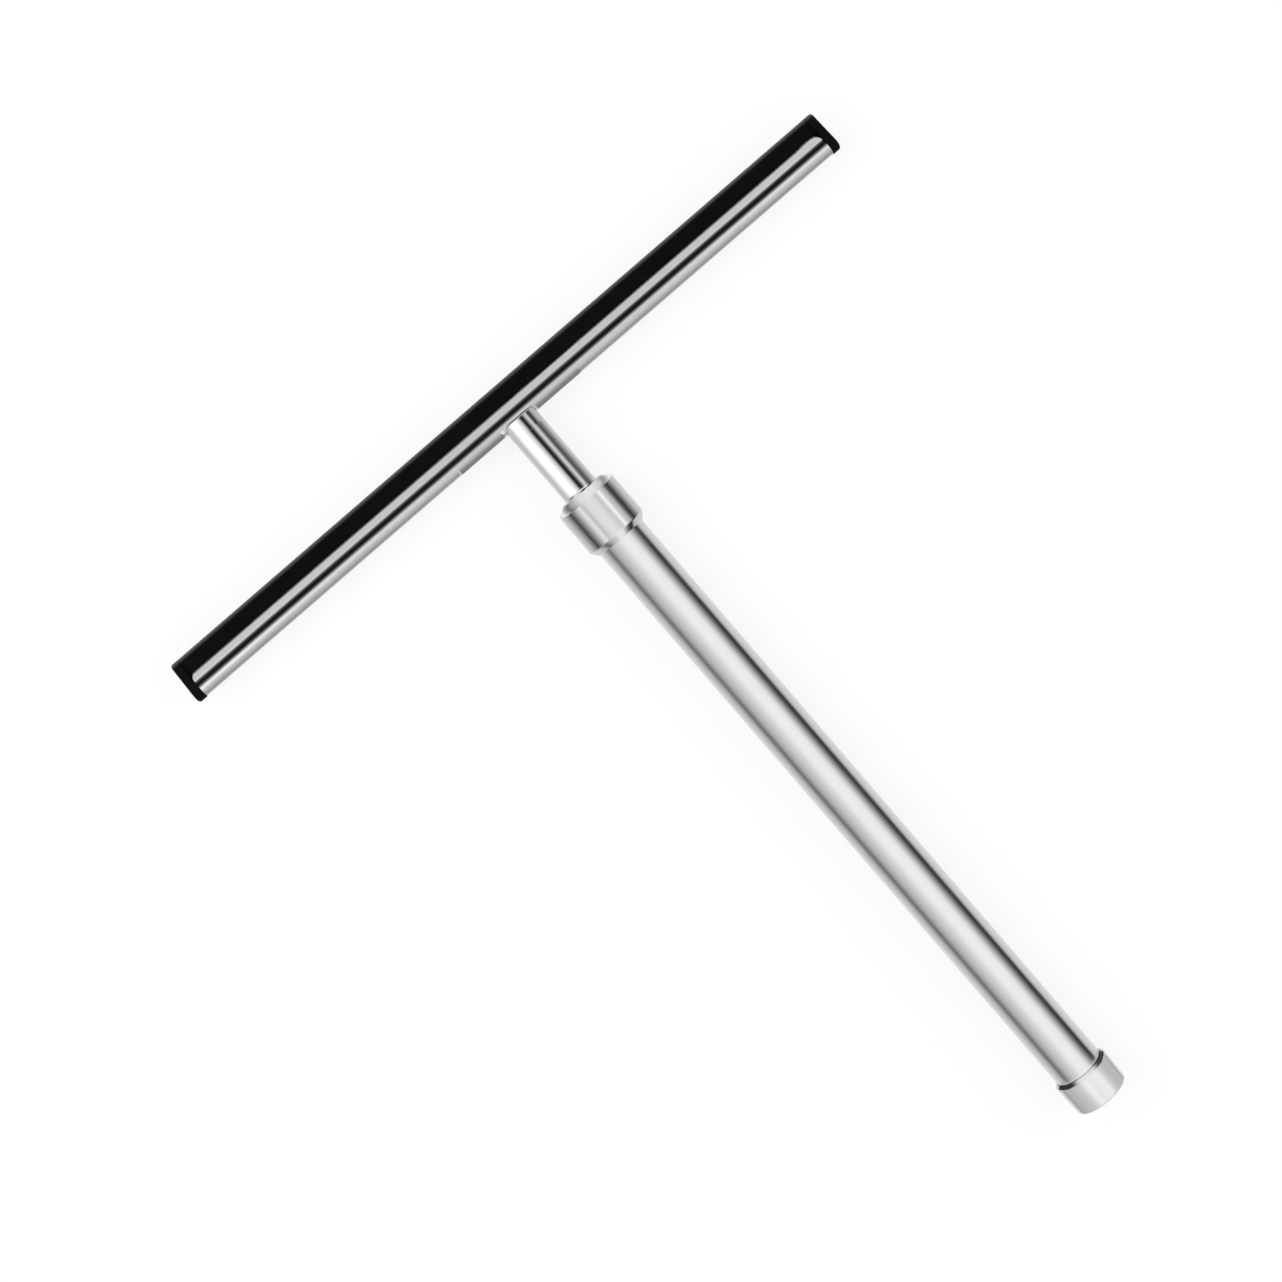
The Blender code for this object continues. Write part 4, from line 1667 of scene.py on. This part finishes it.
@dataclass(frozen=True)
class Card:
    """An upright reflector along the blade, seen only in reflections.

    Attributes:
        name: Name of the object.
        left: Its left end.
        right: Its right end.
        station: Where it stands.
        stops: Light up the card, at heights from the handle's axis.
    """

    name: str
    left: float
    right: float
    station: float
    stops: tuple[Stop, ...]

    def build(self, axis: float) -> None:
        """Builds the card.

        Args:
            axis: Height of the handle's axis above the floor.
        """
        foot = axis + self.stops[0].at * MM
        top = axis + self.stops[-1].at * MM
        material, wiring = new_material(self.name)
        stops = [(axis + stop.at * MM, stop.level / BRIGHTEST) for stop in self.stops]
        grey = wiring.ramp(wiring.axes()["Z"], foot, top, stops)
        wiring.surface(wiring.glow(grey, BRIGHTEST))
        rows = [[(self.left, self.station, z), (self.right, self.station, z)] for z in (foot, top)]
        reflection_only(strip(self.name, rows, material))


def reflection_only(obj: bpy.types.Object) -> None:
    """Shows a studio piece in reflections alone."""
    obj.visible_camera = False
    obj.visible_diffuse = False
    obj.visible_transmission = False
    obj.visible_volume_scatter = False
    obj.visible_shadow = False


# Light of the reflectors: round the handle from left to right, on the cards from low to high, over
# the sky from the handle outwards and from left to right. The neck's end differs to the right only.
# The levels were worked out from the brightness across each piece in the photograph.

NECK_LIGHT = (
    Stop(-110, 0.88), Stop(-95, 1.05), Stop(-81, 1.6), Stop(-66, 1.8), Stop(-36, 1.8),
    Stop(-26, 1.45), Stop(-13, 1.05), Stop(-6, 0.58), Stop(2, 0.06), Stop(10, 0.02), Stop(18, 0.07),
    Stop(28, 0.5), Stop(38, 1.08), Stop(44, 1.05), Stop(55, 0.35), Stop(66, 0.11), Stop(84, 0.28),
    Stop(115, 0.85),
)
NECK_END_LIGHT = (
    *NECK_LIGHT[:10], Stop(17, 0.1), Stop(26, 0.5), Stop(36, 1.08), Stop(41, 1.0), Stop(50, 0.3),
    Stop(60, 0.02), Stop(70, 0.15), Stop(90, 0.7), Stop(115, 0.85),
)
COLLAR_LIGHT = (
    Stop(-125, 0.85), Stop(-103, 0.38), Stop(-91, 0.09), Stop(-81, 0.25), Stop(-69, 0.6),
    Stop(-49, 1.32), Stop(-38, 1.0), Stop(-34, 0.88), Stop(-29, 1.12), Stop(-15, 1.28),
    Stop(5, 1.27), Stop(19, 1.06), Stop(24, 0.98), Stop(32, 1.3), Stop(38, 1.65), Stop(46, 1.05),
    Stop(61, 0.72), Stop(70, 0.2), Stop(82, 0.05), Stop(95, 0.32), Stop(118, 0.9),
)
TUBE_LIGHT = (
    Stop(-125, 0.9), Stop(-104, 0.65), Stop(-92, 0.28), Stop(-82, 0.28), Stop(-70, 0.6),
    Stop(-55, 0.8), Stop(-28, 1.1), Stop(-14, 1.32), Stop(0, 1.38), Stop(24, 1.33), Stop(34, 1.15),
    Stop(44, 0.8), Stop(58, 0.36), Stop(70, 0.1), Stop(79, 0.03), Stop(87, 0.2), Stop(96, 0.8),
    Stop(118, 1.0),
)
CUP_LIGHT = (
    Stop(-128, 0.56), Stop(-110, 0.7), Stop(-84, 0.78), Stop(-50, 0.95), Stop(-24, 1.4),
    Stop(0, 1.28), Stop(20, 1.35), Stop(36, 1.35), Stop(56, 0.95), Stop(80, 0.78), Stop(110, 0.78),
    Stop(128, 0.58),
)
SHOULDER_LIGHT = (
    Stop(-115, 1.5), Stop(-85, 1.3), Stop(-70, 0.7), Stop(-54, 0.25), Stop(-38, 0.7),
    Stop(-20, 1.2), Stop(0, 1.35), Stop(20, 1.3), Stop(38, 1.05), Stop(54, 0.5), Stop(70, 0.8),
    Stop(85, 1.3), Stop(115, 1.5),
)
RIM_LIGHT = (
    Stop(-44, 0.05), Stop(-36, 0.4), Stop(-26, 1.1), Stop(0, 1.2), Stop(22, 1.1), Stop(32, 0.4),
    Stop(40, 0.08),
)
FLAG_LIGHT = (
    Stop(2.0, 0.008), Stop(4.1, 0.01), Stop(6.4, 0.03), Stop(9.4, 0.16), Stop(14.3, 0.52),
    Stop(25.5, 1.05), Stop(29.5, 1.15),
)
BACK_LIGHT = (
    Stop(-11.0, 0.5), Stop(4.0, 0.53), Stop(10.4, 0.66), Stop(18.0, 0.78), Stop(28.0, 0.9),
    Stop(52.0, 1.0),
)
BESIDE_LIGHT = (
    Stop(-11.0, 0.4), Stop(1.5, 0.35), Stop(4.0, 0.42), Stop(8.5, 0.75), Stop(24.0, 1.0),
    Stop(30.0, 1.0),
)
SKY_SWELL = (
    Stop(-24.0, 0.05), Stop(-19.0, 0.12), Stop(-8.0, 0.42), Stop(5.7, 0.8), Stop(6.3, 0.05),
    Stop(10.2, 0.05), Stop(10.8, 0.9), Stop(17.5, 0.9),
)
SKY_ENDS = (
    Stop(-150.0, 1.0), Stop(-125.0, 0.95), Stop(-100.0, 0.65), Stop(-40.0, 0.3), Stop(-15.0, 0.05),
    Stop(20.0, 0.1), Stop(60.0, 0.2), Stop(120.0, 0.55),
)


@dataclass
class Studio:
    """White floor and backdrop, soft lamps, reflectors and the camera.

    Attributes:
        floor_size: Side of the floor.
        floor_glow: Share of the floor's white that doesn't depend on the lamps.
        fill: Light that diffuse surfaces get from all round.
        set_back: How far below the neck's end and the collar's shoulder their reflectors begin.
        behind: How far behind the channel the reflectors beside the neck stand.
        far_behind: How far behind the channel the outer cards stand.
        ahead: How far beyond the channel's mouth the card over the rubber stands.
        overhang: How far the reflectors reach beyond the blade's ends and the cup.
        split: Where the cards beside the neck give way to the outer ones.
        tight: Radius of the hood round the neck's end, and where the cards beside it begin.
        close: Radius of the hood round the neck.
        wide: Radius of the hoods round the handle.
        roomy: Radius of the hood round the drawn-out neck.
        ring_rim: How much smaller than the hoods the ring cards are.
        ring_gap: Gap of the ring cards to the neck and to the cup's rim.
        tube_gap: Gap of the cup's ring card to the handle's tube.
        cup_lead: How far below the cup's rim the cup's own hood begins.
        path_start: How far beyond the channel's mouth the drawn-out neck's hood begins.
        path_end: How far beyond it that hood ends.
    """

    floor_size: float = 30.0
    floor_glow: float = 0.8
    fill: float = 0.75
    set_back: float = 0.9 * MM
    behind: float = 3.3 * MM
    far_behind: float = 18.0 * MM
    ahead: float = 1.6 * MM
    overhang: float = 30.0 * MM
    split: float = 26.0 * MM
    tight: float = 7.2 * MM
    close: float = 18.0 * MM
    wide: float = 24.0 * MM
    roomy: float = 30.0 * MM
    ring_rim: float = 0.2 * MM
    ring_gap: float = 2.3 * MM
    tube_gap: float = 0.3 * MM
    cup_lead: float = 4.5 * MM
    path_start: float = 12.0 * MM
    path_end: float = 205.0 * MM

    def build(self) -> None:
        """Builds the whole studio."""
        self.world()
        self.floor()
        self.lamps()
        self.hoods()
        self.cards()
        self.camera()
        bpy.context.scene.view_settings.view_transform = "Standard"

    def world(self) -> None:
        """White to the camera and in reflections, and a plainer fill for diffuse light."""
        world = bpy.data.worlds.new("studio_world")
        bpy.context.scene.world = world
        world.use_nodes = True
        wiring = Wiring(world.node_tree)
        strength = wiring.span(wiring.seen(), 0.0, 1.0, self.fill, 1.0, kind="LINEAR")
        glow = wiring.add("ShaderNodeBackground", {"Color": WHITE, "Strength": strength})
        wiring.add("ShaderNodeOutputWorld", {"Surface": glow.outputs[0]})

    def floor(self) -> None:
        """Plain white floor that keeps a faint shadow."""
        material, wiring = new_material("white_floor")
        share = wiring.math("MULTIPLY", wiring.seen(), self.floor_glow)
        matt = wiring.add("ShaderNodeBsdfDiffuse", {"Color": (0.95, 0.95, 0.95, 1.0)})
        wiring.surface(wiring.mixed(share, matt, wiring.glow(WHITE, 1.0)))
        half = self.floor_size / 2
        rows = [[(-half, y, 0.0), (half, y, 0.0)] for y in (-half, half)]
        strip("floor", rows, material)

    def lamps(self) -> None:
        """Two broad soft lamps that shape the matt pieces."""
        self.lamp("key_lamp", (-0.7, 0.5, 1.1), 0.9, 7.0)
        self.lamp("fill_lamp", (0.8, -0.4, 1.0), 1.0, 3.0)

    @staticmethod
    def lamp(name: str, place: Point, size: float, power: float) -> None:
        """A square soft lamp aimed at the object.

        Args:
            name: Its name.
            place: Where it hangs.
            size: Side of its square.
            power: Power in watts.
        """
        data = bpy.data.lights.new(name, "AREA")
        data.size = size
        data.energy = power
        obj = bpy.data.objects.new(name, data)
        obj.location = place
        obj.rotation_mode = "QUATERNION"
        obj.rotation_quaternion = (-Vector(place)).to_track_quat("-Z", "Y")
        obj.visible_glossy = False
        bpy.context.scene.collection.objects.link(obj)

    def hoods(self) -> None:
        """Reflectors that give the neck, collar, tube and cup their light and dark bands."""
        neck, tube, collar, cup = (
            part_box(node)[1].x for node in ("inner_tube", "handle_tube", "collar", "handle_cup")
        )
        back, mouth = stations("blade_channel")
        neck_end = stations("inner_tube")[1] - self.set_back
        collar_foot, collar_top = stations("collar")
        cup_end, cup_rim = stations("handle_cup")
        shoulder = collar_top - self.set_back
        cards_at, cup_hood = back - self.behind, cup_rim - self.cup_lead
        path_start, path_end = mouth + self.path_start, mouth + self.path_end
        outer = self.wide - self.ring_rim
        for reflector in (
            Hood("neck_end_hood", NECK_END_LIGHT, neck_end, cards_at, neck, self.tight),
            Hood("neck_hood", NECK_LIGHT, cards_at, shoulder, neck, self.close),
            Hood("collar_hood", COLLAR_LIGHT, shoulder, collar_foot, collar, self.wide),
            Hood("tube_hood", TUBE_LIGHT, collar_foot, cup_hood, tube, self.wide),
            Hood("cup_hood", CUP_LIGHT, cup_hood, cup_end - self.overhang, cup, self.wide),
            Hood("drawn_out_hood", NECK_LIGHT, path_end, path_start, neck, self.roomy),
            RingCard("shoulder_ring", SHOULDER_LIGHT, shoulder, neck + self.ring_gap, outer),
            RingCard("rim_ring", RIM_LIGHT, cup_rim + self.ring_gap, tube + self.tube_gap, outer),
        ):
            reflector.build(axis_height())

    def cards(self) -> None:
        """Cards that the blade reflects: one over the rubber, four behind, and one level above."""
        back, mouth = stations("blade_channel")
        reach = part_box("end_cap_right")[1].x + self.overhang
        axis = axis_height()
        near, far = back - self.behind, back - self.far_behind
        for card in (
            Card("flag_card", -reach, reach, mouth + self.ahead, FLAG_LIGHT),
            Card("left_back_card", -reach, -self.split, far, BACK_LIGHT),
            Card("right_back_card", self.split, reach, far, BACK_LIGHT),
            Card("left_neck_card", -self.split, -self.tight, near, BESIDE_LIGHT),
            Card("right_neck_card", self.tight, self.split, near, BESIDE_LIGHT),
        ):
            card.build(axis)
        sky = Sky(
            low=-24.0 * MM, high=17.5 * MM, reach=reach, rise=57.0 * MM, base=0.93,
            swell=SKY_SWELL, ends=SKY_ENDS,
        )
        sky.build(axis, back)

    def camera(self) -> None:
        """The camera at the photograph's angle, nearly straight above and turned about its axis."""
        image_width = 1282.0
        focal_pixels = 2500.0
        lean_x = math.radians(2.466)
        lean_y = math.radians(5.328)
        roll = math.radians(40.888)
        distance = 830.39 * MM
        target = Vector((-17.526 * MM, 62.56 * MM, axis_height()))
        towards = Vector((-math.tan(lean_x), math.tan(lean_y), 1.0)).normalized()
        right = (-towards).cross(Vector((0.0, 1.0, 0.0))).normalized()
        up = right.cross(-towards)
        image_right = right * math.cos(roll) - up * math.sin(roll)
        image_up = right * math.sin(roll) + up * math.cos(roll)
        data = bpy.data.cameras.new("camera")
        data.sensor_width = 36.0
        data.lens = focal_pixels / image_width * data.sensor_width
        data.clip_start = 0.01
        data.clip_end = 100.0
        obj = bpy.data.objects.new("camera", data)
        bpy.context.scene.collection.objects.link(obj)
        turn = Matrix((image_right, image_up, towards)).transposed()
        obj.matrix_world = Matrix.Translation(target + towards * distance) @ turn.to_4x4()
        bpy.context.scene.camera = obj


def main() -> None:
    """Builds the object's sub-assemblies and the studio."""
    logging.basicConfig(level=logging.INFO, format="%(name)s: %(message)s")
    for assembly in (BladeAssembly(), Neck(), Handle(), TwistLock(), Studio()):
        assembly.build()


if __name__ == "__main__":
    main()
